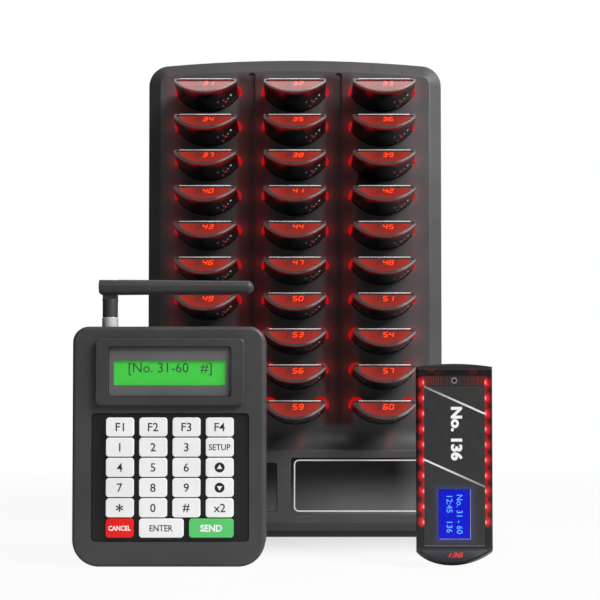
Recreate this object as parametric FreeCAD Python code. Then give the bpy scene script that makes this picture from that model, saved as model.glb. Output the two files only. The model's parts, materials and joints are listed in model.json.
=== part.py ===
"""Guest pager system: a charger rack with thirty docked pagers, a keypad transmitter and one loose pager.

Millimetres, +Z up, +X to the right seen from the front, +Y towards the back. The origin is the centre of
the charger rack's underside. Each piece is one STEP file in parts/, named after the piece.
"""

import FreeCAD, Part

import math
import os

from FreeCAD import Vector

os.makedirs("parts", exist_ok=True)

# ---------------------------------------------------------------- driving dimensions

# Clearances
FIXED_GAP = 0.2  # round a piece that is fixed in a recess
MOVING_GAP = 0.3  # between pieces that move past each other
PIN_GAP = 0.05  # radial, a pin in its hole

# Pager
PAGER_WIDTH = 56.0
PAGER_DEPTH = 18.2  # from the label face to the belly's middle
PAGER_LENGTH = 150.5
PAGER_SIDE = 4.0  # height of the straight side beside the label face
PAGER_EDGE = 1.6  # rounding between the side and the label face
PAGER_NOSE_RISE = 15.2  # how much shorter the label face is than the belly
PAGER_TOP_SAGITTA = 2.3
PAGER_WALL = 2.0
PAGER_FACE = 2.4  # thickness of the front plate
NOSE_WINDOW = 2.0
NOSE_WINDOW_RECESS = 0.8
NOSE_WINDOW_INSET = 2.2
NOSE_SEAT = 0.9  # width of the ledge under the nose window
LABEL_MARGIN = 5.7  # beside the label sheet
LABEL_BOTTOM = 16.6
LABEL_TOP_MARGIN = 16.3  # below the pager's top end
LABEL_THICKNESS = 0.4
PAGER_LCD_MARGIN = 10.45  # from the label's side to the display
PAGER_LCD_HEIGHT = 36.7
PAGER_LCD_BOTTOM = 21.6
PAGER_LCD_FRAME = 2.0
PAGER_LCD_RECESS = 0.6
PAGER_BOARD_MARGIN = 5.9  # from the pager's side to the board
PAGER_BOARD_TOP_MARGIN = 11.8
PAGER_BOARD_FRONT = 5.4
BOARD_THICKNESS = 1.6
PAGER_POST_RADIUS = 2.2
PAGER_POST_MARGIN = 8.0  # from a post's middle to the board's side
LED_COUNT = 10
LED_BOTTOM = 32.45
LED_TOP_MARGIN = 12.25
LED_MARGIN = 7.3  # from a light's middle to the pager's side
LED_WIDTH = 2.8
LED_HEIGHT = 3.5
LED_DEPTH = 1.9
RIB_COUNT = 16
RIB_PITCH = 3.3
RIB_WIDTH = 1.5
RIB_HEIGHT = 6.4
RIB_DEPTH = 0.6
RIB_GAP = 0.8  # above the label
BATTERY_MARGIN = 8.0  # from the cell to the board's side
BATTERY_HEIGHT = 60.0
BATTERY_DEPTH = 4.6
BATTERY_BOTTOM = 44.0

# Charger rack
RACK_ARCH = 7.0  # how far the arch falls to the corners
RACK_FRONT = -60.0  # the flat panel's front plane
RACK_CORNER = 19.0
RACK_FOOT_CORNER = 8.0
RIM_WIDTH = 11.5
RIM_DEPTH = 7.0
RIM_WIDTH_BELOW = 8.7
SHELL_WALL = 3.0
PANEL_WALL = 4.0
FOOT_HEIGHT = 4.8
FOOT_INSET = 5.0
FOOT_CORNER = 10.0
CHIN_STEP = 12.0  # how far the chin stands ahead of the panel
COVE_RADIUS = 24.4
COVE_TOP = 100.0
BACK_THICKNESS = 4.0
BACK_EDGE = 1.5
LIP_THICKNESS = 2.0
LIP_DEPTH = 5.0
COLUMNS = 3
COLUMN_GAP = 24.0  # between two docked pagers
SIDE_MARGIN = 27.6  # from an outer pager to the rack's side
ROWS = 10
ROW_GAP = 13.8
ROW_MARGIN_TOP = 28.2  # from the top row's nose edge to the rack's top
ROW_MARGIN_BOTTOM = 24.3  # from the cove to the bottom row's nose edge
NOSE_REACH = 33.0  # from the panel to the nose's upper edge
SLOT_TILT = 6.0  # degrees that a docked pager's nose points up
POCKET_GAP = 0.4
POCKET_WALL = 1.6
MOUTH_WIDTH = 36.0  # the pocket's end is open there, for the contacts
MOUTH_HEIGHT = 8.0
GROOVE_WIDTH = 6.4
GROOVE_DEPTH = 2.0
GROOVE_MARGIN_TOP = 14.0
GROOVE_MARGIN_BOTTOM = 2.0
PLATE_MARGIN = 5.5  # from the rim to a plate in the chin
PLATE_CORNER = 2.0
PLATE_RECESS = 1.6
PLATE_THICKNESS = 1.2
NOTICE_WIDTH = 122.0
NOTICE_HEIGHT = 51.0
NOTICE_BOTTOM = 21.0
PLAIN_WIDTH = 102.0
PLAIN_HEIGHT = 43.8
PLAIN_BOTTOM = 23.6
PILLAR_RADIUS = 5.0
PILLAR_MARGIN = 13.0  # from a pillar's middle to the rack's side
PILLAR_BOTTOM = 24.0
PILLAR_TOP_MARGIN = 32.0
BOARD_SIDE_GAP = 8.0  # from the board to the pillars
BOARD_MARGIN = 8.0  # of the board beyond the rows
BOARD_STANDOFF = 4.4
STANDOFF_RADIUS = 4.0
CONTACT_RADIUS = 1.1
CONTACT_SPREAD = 10.0
CONTACT_DROP = 9.0  # below the docked pager's label face
CONTACT_ROOM = 5.7  # from the docked pager's end to the board
WALL_HOLE_RADIUS = 2.5
WALL_HOLE_RISE = 240.0
WALL_HOLE_BOTTOM = 100.0
VENT_COUNT = 9
VENT_PITCH = 9.0
VENT_WIDTH = 3.0
VENT_HEIGHT = 34.0
VENT_MIDDLE = 55.0

# Screws and power inlets
SCREW_RADIUS = 1.95
SCREW_LENGTH = 14.0
SCREW_HEAD_RADIUS = 3.8
SCREW_HEAD_HEIGHT = 2.0
SCREW_HOLE_GAP = 0.3
JACK_RADIUS = 4.5
JACK_LENGTH = 16.0
JACK_BORE = 2.85
JACK_BORE_DEPTH = 10.0
JACK_NUT_RADIUS = 6.8
JACK_NUT_HEIGHT = 3.0
RACK_JACK = (-88.0, 45.0)
TX_JACK_HEIGHT = 30.0

# Transmitter
TX_X = -93.0
TX_FRONT = -260.0
TX_SIDE_MARGIN = 13.15  # beside the keypad
TX_TOP_MARGIN = 9.2  # above the hood
FACE_SHIFT = 1.1  # of the display and the keypad, to the right of the case's middle
TX_DEPTH = 36.0
TX_PARTING = 20.0  # behind the front face
TX_TOP_CORNER = 12.0
TX_BOTTOM_CORNER = 20.0
TX_EDGE = 3.0
TX_FACE = 3.0
TX_WALL = 2.5
HOOD_WIDTH = 110.3
HOOD_HEIGHT = 49.5
HOOD_GAP = 6.0  # above the keypad
HOOD_CORNER = 3.7
HOOD_PROUD = 4.5
BEZEL_WIDTH = 90.6
BEZEL_HEIGHT = 36.6
BEZEL_RISE = 0.2  # above the hood's middle
BEZEL_CORNER = 2.0
BEZEL_THICKNESS = 1.6
LCD_VIEW_WIDTH = 83.3
LCD_VIEW_HEIGHT = 18.3
LCD_DROP = 1.0  # below the bezel's middle
LCD_MARGIN = 0.6
LCD_FRAME_WIDTH = 98.0
LCD_FRAME_HEIGHT = 34.0
KEY_PITCH_X = 24.65
KEY_PITCH_Z = 14.95
KEY_WIDTH = 20.7
KEY_HEIGHT = 14.1
KEY_CORNER = 2.4
KEY_EDGE = 0.5
KEY_PROUD = 2.0  # above the case's face
KEY_CAP = 2.5
KEY_TRAVEL = 0.8
STEM_MARGIN_X = 3.6
STEM_MARGIN_Z = 3.2
STEM_CORNER = 1.5
STEM_PROUD = 0.5  # behind the keypad plate
KEYPAD_BOTTOM = 18.8
KEYPAD_MARGIN_X = 11.33
KEYPAD_MARGIN_Z = 3.15
KEYPAD_CORNER = 3.0
KEYPAD_SINK = 1.4  # plate below the case's face
KEYPAD_FLANGE = 3.2
KEYPAD_FLANGE_THICKNESS = 1.6
DOME_SHEET = 1.2
TX_BOARD_SIDE_MARGIN = 13.8  # from the case's side
TX_BOARD_BOTTOM = 14.6
TX_BOARD_TOP_MARGIN = 11.0
TX_POST_RADIUS = 3.0
TX_POST_MARGIN = 4.0  # from a front post's middle to the board's edge
TX_REAR_POST_MARGIN_X = 8.0  # the same for a rear post
TX_REAR_POST_MARGIN_Z = 28.0
TX_PILLAR_RADIUS = 4.0
TX_LOW_PILLAR_MARGIN = 17.8  # from a pillar's middle to the case's side
TX_LOW_PILLAR_HEIGHT = 9.4
TX_HIGH_PILLAR_MARGIN = 8.8
TX_HIGH_PILLAR_DROP = 16.0

KEY_ROWS = (
    ("f1", "f2", "f3", "f4"),
    ("1", "2", "3", "setup"),
    ("4", "5", "6", "up"),
    ("7", "8", "9", "down"),
    ("star", "0", "hash", "x2"),
)
WIDE_KEY_ROW = ("cancel", "enter", "send")

# Antenna
ANTENNA_X = -45.8  # from the transmitter's middle
ANTENNA_SETBACK = 13.0  # behind the front face
COLLAR_RADIUS = 6.15
COLLAR_HEIGHT = 7.5
STUD_RADIUS = 3.0
STUD_NUT_RADIUS = 5.5
STUD_NUT_HEIGHT = 6.0
STUD_ABOVE = 6.0  # into the knuckle
KNUCKLE_RADIUS = 5.75
KNUCKLE_LENGTH = 13.1
SWING_GAP = 0.4  # between the knuckle's shoulder and the arm's corner as it swings past
TONGUE_WIDTH = 11.2
TONGUE_THICKNESS = 4.0
HINGE_PIN_RADIUS = 1.5
ARM_RADIUS = 6.0
ARM_TIP_RADIUS = 5.0
ARM_TAIL = 8.0  # from the hinge to the square end
ARM_CORNER = 9.0  # from the hinge to the rounding of the end's lower corner
ARM_REACH = 108.6  # from the hinge to the round end

# Loose pager
LOOSE_X = 118.0
LOOSE_FRONT = -270.0

# ---------------------------------------------------------------- derived places

LABEL_WIDTH = PAGER_WIDTH - 2 * LABEL_MARGIN
LABEL_TOP = PAGER_LENGTH - LABEL_TOP_MARGIN
RIB_BOTTOM = LABEL_TOP + RIB_GAP
LED_TOP = PAGER_LENGTH - LED_TOP_MARGIN
LED_PITCH = (LED_TOP - LED_HEIGHT - LED_BOTTOM) / (LED_COUNT - 1)
NOSE_SLOPE = math.atan2(PAGER_NOSE_RISE, PAGER_DEPTH)
NOSE_SEAT_DEPTH = NOSE_WINDOW_RECESS + NOSE_WINDOW
PAGER_LCD_WIDTH = LABEL_WIDTH - 2 * PAGER_LCD_MARGIN
PAGER_LCD_TOP = PAGER_LCD_BOTTOM + PAGER_LCD_HEIGHT
PAGER_BOARD_WIDTH = PAGER_WIDTH - 2 * PAGER_BOARD_MARGIN
PAGER_BOARD_BOTTOM = (
    PAGER_NOSE_RISE
    - PAGER_BOARD_FRONT * math.tan(NOSE_SLOPE)
    + (2 * NOSE_SEAT_DEPTH + FIXED_GAP) / math.cos(NOSE_SLOPE)
)
PAGER_BOARD_BACK = PAGER_BOARD_FRONT + BOARD_THICKNESS
PAGER_POST_REACH = PAGER_BOARD_WIDTH / 2 - PAGER_POST_MARGIN
LED_OFFSET = PAGER_WIDTH / 2 - LED_MARGIN
BATTERY_WIDTH = PAGER_BOARD_WIDTH - 2 * BATTERY_MARGIN

COLUMN_PITCH = PAGER_WIDTH + COLUMN_GAP
ROW_PITCH = PAGER_DEPTH + ROW_GAP
RACK_WIDTH = (COLUMNS - 1) * COLUMN_PITCH + PAGER_WIDTH + 2 * SIDE_MARGIN
HALF_RACK = RACK_WIDTH / 2
ROW_BOTTOM = COVE_TOP + ROW_MARGIN_BOTTOM
ROW_TOP = ROW_BOTTOM + (ROWS - 1) * ROW_PITCH  # height of the top row's nose edge
RACK_TOP = ROW_TOP + ROW_MARGIN_TOP  # at the middle of the arched top
INSERTED = PAGER_LENGTH - PAGER_NOSE_RISE  # a docked pager, from its nose's upper edge to its end
DOCKED_END = RACK_FRONT - NOSE_REACH + INSERTED * math.cos(math.radians(SLOT_TILT))
DOCKED_DROP = INSERTED * math.sin(math.radians(SLOT_TILT))
BOARD_FRONT = DOCKED_END + CONTACT_ROOM
BACK_FRONT = BOARD_FRONT + BOARD_THICKNESS + BOARD_STANDOFF
RACK_REAR = BACK_FRONT + BACK_THICKNESS
PILLAR_OFFSET = HALF_RACK - PILLAR_MARGIN
BOARD_WIDTH = 2 * (PILLAR_OFFSET - PILLAR_RADIUS - BOARD_SIDE_GAP)
BOARD_BOTTOM = ROW_BOTTOM - DOCKED_DROP - CONTACT_DROP - BOARD_MARGIN
BOARD_TOP = ROW_TOP
CHIN_FRONT = RACK_FRONT - CHIN_STEP

KEY_SPAN = (len(KEY_ROWS[0]) - 1) * KEY_PITCH_X + KEY_WIDTH
KEYPAD_WIDTH = KEY_SPAN + 2 * KEYPAD_MARGIN_X
KEYPAD_TOP = KEYPAD_BOTTOM + len(KEY_ROWS) * KEY_PITCH_Z + KEY_HEIGHT + 2 * KEYPAD_MARGIN_Z
KEY_TOP_ROW = KEYPAD_TOP - KEYPAD_MARGIN_Z - KEY_HEIGHT / 2
HOOD_MIDDLE = KEYPAD_TOP + HOOD_GAP + HOOD_HEIGHT / 2
BEZEL_MIDDLE = HOOD_MIDDLE + BEZEL_RISE
LCD_MIDDLE = BEZEL_MIDDLE - LCD_DROP
TX_WIDTH = KEYPAD_WIDTH + 2 * TX_SIDE_MARGIN
TX_HEIGHT = HOOD_MIDDLE + HOOD_HEIGHT / 2 + TX_TOP_MARGIN
FACE_X = TX_X + FACE_SHIFT
TX_REAR = TX_FRONT + TX_DEPTH
TX_JACK_Y = TX_REAR - TX_WALL - MOVING_GAP - JACK_NUT_RADIUS
TX_JOINT = TX_FRONT + TX_PARTING
TX_FACE_BACK = TX_FRONT + TX_FACE
PLATE_FRONT = TX_FRONT + KEYPAD_SINK
PLATE_BACK = TX_FACE_BACK + KEYPAD_FLANGE_THICKNESS
CAP_BACK = TX_FRONT - KEY_PROUD + KEY_CAP
STEM_BACK = PLATE_BACK + STEM_PROUD
SHEET_FRONT = STEM_BACK + KEY_TRAVEL + MOVING_GAP
TX_BOARD_FRONT = SHEET_FRONT + DOME_SHEET
TX_BOARD_BACK = TX_BOARD_FRONT + BOARD_THICKNESS
TX_BOARD_WIDTH = TX_WIDTH - 2 * TX_BOARD_SIDE_MARGIN
TX_BOARD_TOP = TX_HEIGHT - TX_BOARD_TOP_MARGIN
TX_FRONT_POSTS = ((TX_BOARD_WIDTH / 2 - TX_POST_MARGIN, TX_BOARD_TOP - TX_POST_MARGIN),)
TX_REAR_POSTS = (
    (TX_BOARD_WIDTH / 2 - TX_REAR_POST_MARGIN_X, TX_BOARD_BOTTOM + TX_REAR_POST_MARGIN_Z),
    (TX_BOARD_WIDTH / 2 - TX_REAR_POST_MARGIN_X, TX_BOARD_TOP - TX_REAR_POST_MARGIN_Z),
)
TX_PILLARS = (
    (TX_WIDTH / 2 - TX_LOW_PILLAR_MARGIN, TX_LOW_PILLAR_HEIGHT),
    (TX_WIDTH / 2 - TX_HIGH_PILLAR_MARGIN, TX_HEIGHT - TX_HIGH_PILLAR_DROP),
)
ANTENNA_Y = TX_FRONT + ANTENNA_SETBACK
COLLAR_TOP = TX_HEIGHT + COLLAR_HEIGHT
KNUCKLE_BOTTOM = COLLAR_TOP + MOVING_GAP
KNUCKLE_TOP = KNUCKLE_BOTTOM + KNUCKLE_LENGTH
HINGE_HEIGHT = KNUCKLE_TOP + ARM_CORNER + SWING_GAP
SCREW_HOLE = SCREW_RADIUS + SCREW_HOLE_GAP
COUNTERBORE_RADIUS = SCREW_HEAD_RADIUS + SCREW_HOLE_GAP
COUNTERBORE_DEPTH = SCREW_HEAD_HEIGHT + FIXED_GAP


# ---------------------------------------------------------------- shared shapes

def save(name, *solids):
    """Write one piece, or a group of alike pieces, as parts/NAME.step."""
    shape = solids[0] if len(solids) == 1 else Part.makeCompound(list(solids))
    shape.exportStep(f"parts/{name}.step")


def block(x0, x1, y0, y1, z0, z1):
    """A box between two corners."""
    return Part.makeBox(x1 - x0, y1 - y0, z1 - z0, Vector(x0, y0, z0))


def rod(x, y0, y1, z, radius):
    """A cylinder along Y."""
    return Part.makeCylinder(radius, y1 - y0, Vector(x, y0, z), Vector(0, 1, 0))


def post(x, y, z0, z1, radius):
    """A cylinder along Z."""
    return Part.makeCylinder(radius, z1 - z0, Vector(x, y, z0))


def rounded_plate(x, z, width, height, corner, y0, y1):
    """A plate across Y with rounded corners, its middle at x, z."""
    shape = block(x - width / 2, x + width / 2, y0, y1, z - height / 2, z + height / 2)
    return shape.makeFillet(corner, edges_along(shape, Vector(0, 1, 0)))


def edges_along(shape, direction):
    """The straight edges of a shape that run along a direction."""
    found = []
    for edge in shape.Edges:
        if isinstance(edge.Curve, Part.Line):
            if abs(edge.tangentAt(edge.FirstParameter).dot(direction)) > 0.999:
                found.append(edge)
    return found


def edges_at(shape, y):
    """The edges of a shape that lie in the plane at y."""
    return [
        edge
        for edge in shape.Edges
        if abs(edge.BoundBox.YMin - y) < 1e-4 and abs(edge.BoundBox.YMax - y) < 1e-4
    ]


def along_y(wire, y0, y1):
    """A wire drawn at y = 0, extruded from y0 to y1."""
    face = Part.Face(wire)
    face.translate(Vector(0, y0, 0))
    return face.extrude(Vector(0, y1 - y0, 0))


def mirrored_pairs(pairs):
    """Each (x, z) pair and its mirror image in x."""
    return [(side * x, z) for x, z in pairs for side in (-1, 1)]


# ---------------------------------------------------------------- pager

def pager_outline(inset):
    """The pager's D-shaped cross-section at z = 0, the label face at y = 0 and the belly towards +Y."""
    half = PAGER_WIDTH / 2 - inset
    sagitta = PAGER_DEPTH - PAGER_SIDE
    radius = ((PAGER_WIDTH / 2) ** 2 + sagitta**2) / (2 * sagitta)
    centre = PAGER_DEPTH - radius
    radius -= inset
    front = inset
    edge = max(PAGER_EDGE - inset, 0.3)
    lowest = front + 1.5 * edge  # where the belly may meet the side, clear of the front bend
    half = min(half, math.sqrt(radius**2 - (lowest - centre) ** 2))
    side = centre + math.sqrt(radius**2 - half**2)
    bend = edge * (1 - math.sqrt(0.5))
    left_start, left_end = Vector(-half, front + edge), Vector(-half + edge, front)
    right_start, right_end = Vector(half - edge, front), Vector(half, front + edge)
    left_bend, right_bend = Vector(-half + bend, front + bend), Vector(half - bend, front + bend)
    left_side, right_side = Vector(-half, side), Vector(half, side)
    belly = Vector(0, PAGER_DEPTH - inset)
    return Part.Wire(
        [
            Part.Arc(left_start, left_bend, left_end).toShape(),
            Part.LineSegment(left_end, right_start).toShape(),
            Part.Arc(right_start, right_bend, right_end).toShape(),
            Part.LineSegment(right_end, right_side).toShape(),
            Part.Arc(right_side, belly, left_side).toShape(),
            Part.LineSegment(left_side, left_start).toShape(),
        ]
    )


def pager_prism(inset, z0, z1):
    """The pager's section, extruded along its length."""
    face = Part.Face(pager_outline(inset))
    face.translate(Vector(0, 0, z0))
    return face.extrude(Vector(0, 0, z1 - z0))


def nose_slab(shallow, deep):
    """The space between two planes parallel to the nose's sloping end, each a depth inside it."""
    span = 3 * PAGER_WIDTH
    slab = Part.makeBox(span, span, deep - shallow, Vector(-span / 2, -span / 2, shallow))
    slab.rotate(Vector(0, 0, 0), Vector(1, 0, 0), -math.degrees(NOSE_SLOPE))
    slab.translate(Vector(0, 0, PAGER_NOSE_RISE))
    return slab


def pager_body(inset):
    """The whole pager's outer form, or the form inside it by an inset, nose down."""
    form = pager_prism(inset, 0, PAGER_LENGTH)
    radius = ((PAGER_WIDTH / 2) ** 2 + PAGER_TOP_SAGITTA**2) / (2 * PAGER_TOP_SAGITTA)
    arch_middle = Vector(0, -PAGER_DEPTH, PAGER_LENGTH - radius - inset)
    arch = Part.makeCylinder(radius, 3 * PAGER_DEPTH, arch_middle, Vector(0, 1, 0))
    return form.common(arch).common(nose_slab(0, 2 * PAGER_LENGTH))


def nose_pocket():
    """What is cut from a pager's nose for the window: its recess, its seat and the light's way through."""
    window = pager_prism(NOSE_WINDOW_INSET - FIXED_GAP / 2, -1, PAGER_LENGTH / 2)
    through = pager_prism(NOSE_WINDOW_INSET + NOSE_SEAT, -1, PAGER_LENGTH / 2)
    seat = window.common(nose_slab(-1, NOSE_SEAT_DEPTH))
    return seat.fuse(through.common(nose_slab(-1, 2 * NOSE_SEAT_DEPTH)))


def docked_pager():
    """A whole pager as one body, with the window's recess in its nose and the label's in its face."""
    window = pager_prism(NOSE_WINDOW_INSET, -1, PAGER_LENGTH / 2).common(nose_slab(-1, NOSE_WINDOW_RECESS))
    return pager_body(0).cut(window).cut(label_block(0, -1))


def label_block(grow, front):
    """The label sheet's block, grown by a gap, from a front plane to the floor of its recess."""
    half = LABEL_WIDTH / 2 + grow
    return block(-half, half, front, LABEL_THICKNESS, LABEL_BOTTOM - grow, LABEL_TOP + grow)


def lcd_block(grow, front, rear):
    """The loose pager's display, or a block round it, grown by a margin."""
    half = PAGER_LCD_WIDTH / 2 + grow
    return block(-half, half, front, rear, PAGER_LCD_BOTTOM - grow, PAGER_LCD_TOP + grow)


def dock(shape, column, row):
    """Turn a shape from the upright pager's frame into a pocket of the rack."""
    placed = shape.copy()
    placed.translate(Vector(0, 0, -PAGER_NOSE_RISE))
    placed.rotate(Vector(0, 0, 0), Vector(1, 0, 0), -(90 + SLOT_TILT))
    x = (column - (COLUMNS - 1) / 2) * COLUMN_PITCH
    placed.translate(Vector(x, RACK_FRONT - NOSE_REACH, ROW_TOP - row * ROW_PITCH))
    return placed


def make_docked_pagers():
    """Ten rows of three pagers; a row is one piece file because its pagers are alike."""
    pager = docked_pager()
    for row in range(ROWS):
        save(f"pager_row_{row + 1:02d}", *[dock(pager, column, row) for column in range(COLUMNS)])


def place_loose(shape):
    """Stand a pager's piece beside the rack, label face forward."""
    placed = shape.copy()
    placed.translate(Vector(LOOSE_X, LOOSE_FRONT, 0))
    return placed


def make_loose_shells():
    """The loose pager's belly shell with its posts, and its face plate with the ribs."""
    whole = pager_body(0)
    span = PAGER_WIDTH
    face_zone = block(-span, span, -1, PAGER_FACE, -1, 2 * PAGER_LENGTH)
    belly_zone = block(-span, span, PAGER_FACE, 2 * PAGER_DEPTH, -1, 2 * PAGER_LENGTH)
    cavity = pager_body(PAGER_WALL).common(nose_slab(2 * NOSE_SEAT_DEPTH - 1, 2 * PAGER_LENGTH))

    belly = whole.common(belly_zone).cut(cavity).cut(nose_pocket())
    post_margin = 3 * PAGER_POST_RADIUS
    post_heights = (BATTERY_BOTTOM - post_margin, BATTERY_BOTTOM + BATTERY_HEIGHT + post_margin)
    for x, z in mirrored_pairs([(PAGER_POST_REACH, height) for height in post_heights]):
        belly = belly.fuse(rod(x, PAGER_BOARD_BACK, PAGER_DEPTH, z, PAGER_POST_RADIUS).common(whole))
    save("pager_belly_shell", place_loose(belly.removeSplitter()))

    face = whole.common(face_zone).cut(nose_pocket()).cut(label_block(FIXED_GAP, -1))
    face = face.cut(lcd_block(FIXED_GAP, -1, PAGER_DEPTH))
    rib_top = RIB_BOTTOM + RIB_HEIGHT
    for rib in range(RIB_COUNT):
        x = (rib - (RIB_COUNT - 1) / 2) * RIB_PITCH
        face = face.cut(block(x - RIB_WIDTH / 2, x + RIB_WIDTH / 2, -1, RIB_DEPTH, RIB_BOTTOM, rib_top))
    save("pager_face_plate", place_loose(face.removeSplitter()))


def make_loose_display():
    """The loose pager's label, its small display and the window in its nose."""
    save("pager_label", place_loose(label_block(0, 0).cut(lcd_block(0, -1, PAGER_DEPTH))))
    glass = lcd_block(0, PAGER_LCD_RECESS, PAGER_FACE)
    frame = lcd_block(PAGER_LCD_FRAME, PAGER_FACE, PAGER_BOARD_FRONT)
    save("pager_lcd", place_loose(glass.fuse(frame)))

    window = pager_prism(NOSE_WINDOW_INSET, -1, PAGER_LENGTH / 2)
    window = window.common(nose_slab(NOSE_WINDOW_RECESS, NOSE_SEAT_DEPTH))
    save("pager_nose_window", place_loose(window))


def make_loose_inside():
    """The loose pager's board, its two columns of side lights and its cell."""
    half = PAGER_BOARD_WIDTH / 2
    board_top = PAGER_LENGTH - PAGER_BOARD_TOP_MARGIN
    board = block(-half, half, PAGER_BOARD_FRONT, PAGER_BOARD_BACK, PAGER_BOARD_BOTTOM, board_top)
    save("pager_board", place_loose(board))

    leds = []
    front = PAGER_BOARD_FRONT - LED_DEPTH
    for step in range(LED_COUNT):
        bottom = LED_BOTTOM + LED_PITCH * step
        for x in (-LED_OFFSET - LED_WIDTH / 2, LED_OFFSET - LED_WIDTH / 2):
            led = block(x, x + LED_WIDTH, front, PAGER_BOARD_FRONT, bottom, bottom + LED_HEIGHT)
            leds.append(place_loose(led))
    save("pager_leds", *leds)

    half = BATTERY_WIDTH / 2
    back = PAGER_BOARD_BACK + BATTERY_DEPTH
    battery = block(-half, half, PAGER_BOARD_BACK, back, BATTERY_BOTTOM, BATTERY_BOTTOM + BATTERY_HEIGHT)
    battery = battery.makeFillet(BATTERY_DEPTH / 3, edges_along(battery, Vector(0, 0, 1)))
    save("pager_battery", place_loose(battery))


# ---------------------------------------------------------------- charger rack

def rack_outline(half, bottom, top, corner, foot_corner):
    """The rack's front outline at y = 0: an arched top, round upper corners and small lower ones."""
    arch = (HALF_RACK**2 + RACK_ARCH**2) / (2 * RACK_ARCH)
    centre = top - arch
    # the corner's circle touches the side and the arch
    corner_x = half - corner
    corner_z = centre + math.sqrt((arch - corner) ** 2 - corner_x**2)
    lean = math.atan2(corner_x, corner_z - centre)
    touch = Vector(arch * math.sin(lean), 0, centre + arch * math.cos(lean))
    middle_angle = (lean + math.pi / 2) / 2
    bend = Vector(corner_x + corner * math.sin(middle_angle), 0, corner_z + corner * math.cos(middle_angle))
    side_top = Vector(half, 0, corner_z)
    side_foot = Vector(half, 0, bottom + foot_corner)
    foot_bend_reach = foot_corner * (1 - math.sqrt(0.5))
    foot_bend = Vector(half - foot_bend_reach, 0, bottom + foot_bend_reach)
    foot_end = Vector(half - foot_corner, 0, bottom)

    def left(point):
        return Vector(-point.x, 0, point.z)

    return Part.Wire(
        [
            Part.Arc(left(touch), Vector(0, 0, top), touch).toShape(),
            Part.Arc(touch, bend, side_top).toShape(),
            Part.LineSegment(side_top, side_foot).toShape(),
            Part.Arc(side_foot, foot_bend, foot_end).toShape(),
            Part.LineSegment(foot_end, left(foot_end)).toShape(),
            Part.Arc(left(foot_end), left(foot_bend), left(side_foot)).toShape(),
            Part.LineSegment(left(side_foot), left(side_top)).toShape(),
            Part.Arc(left(side_top), left(bend), left(touch)).toShape(),
        ]
    )


def rack_wire(inset, rim):
    """The rack's outline moved inwards, and by the rim's bevel too when rim is 1."""
    side = inset + rim * RIM_WIDTH
    return rack_outline(
        HALF_RACK - side,
        FOOT_HEIGHT + inset + rim * RIM_WIDTH_BELOW,
        RACK_TOP - side,
        RACK_CORNER - side,
        max(RACK_FOOT_CORNER - inset - rim * RIM_WIDTH_BELOW, 1.0),
    )


def rack_block(front, rear, inset):
    """A block with the rack's outline and its bevelled front rim."""
    shoulder = front + RIM_DEPTH
    back_wire, front_wire = rack_wire(inset, 0), rack_wire(inset, 1)
    back_wire.translate(Vector(0, shoulder, 0))
    front_wire.translate(Vector(0, front, 0))
    rim = Part.makeLoft([back_wire, front_wire], True, True)
    return rim.fuse(along_y(rack_wire(inset, 0), shoulder, rear)).removeSplitter()


def chin_zone(wall):
    """The space under the cove's curve, a wall's thickness inside it."""
    panel = RACK_FRONT + wall
    chin = CHIN_FRONT + wall
    centre = RACK_FRONT - COVE_RADIUS
    radius = COVE_RADIUS + wall
    sweep = math.acos((chin - centre) / radius)

    def on_cove(angle):
        return Vector(0, centre + radius * math.cos(angle), COVE_TOP - radius * math.sin(angle))

    top, lip = on_cove(0), on_cove(sweep)
    floor = Vector(0, chin, -RIM_WIDTH)
    back_floor = Vector(0, panel + RIM_WIDTH, -RIM_WIDTH)
    back_top = Vector(0, panel + RIM_WIDTH, COVE_TOP)
    wire = Part.Wire(
        [
            Part.Arc(top, on_cove(sweep / 2), lip).toShape(),
            Part.LineSegment(lip, floor).toShape(),
            Part.LineSegment(floor, back_floor).toShape(),
            Part.LineSegment(back_floor, back_top).toShape(),
            Part.LineSegment(back_top, top).toShape(),
        ]
    )
    face = Part.Face(wire)
    face.translate(Vector(-RACK_WIDTH, 0, 0))
    return face.extrude(Vector(2 * RACK_WIDTH, 0, 0))


def rack_form(wall, inset, rear):
    """The front housing's form, or the hollow in it at a wall's thickness."""
    upper = rack_block(RACK_FRONT + wall, rear, inset)
    lower = rack_block(CHIN_FRONT + wall, RACK_FRONT + wall + RIM_DEPTH + 1, inset)
    return upper.fuse(lower.common(chin_zone(wall))).removeSplitter()


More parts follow.
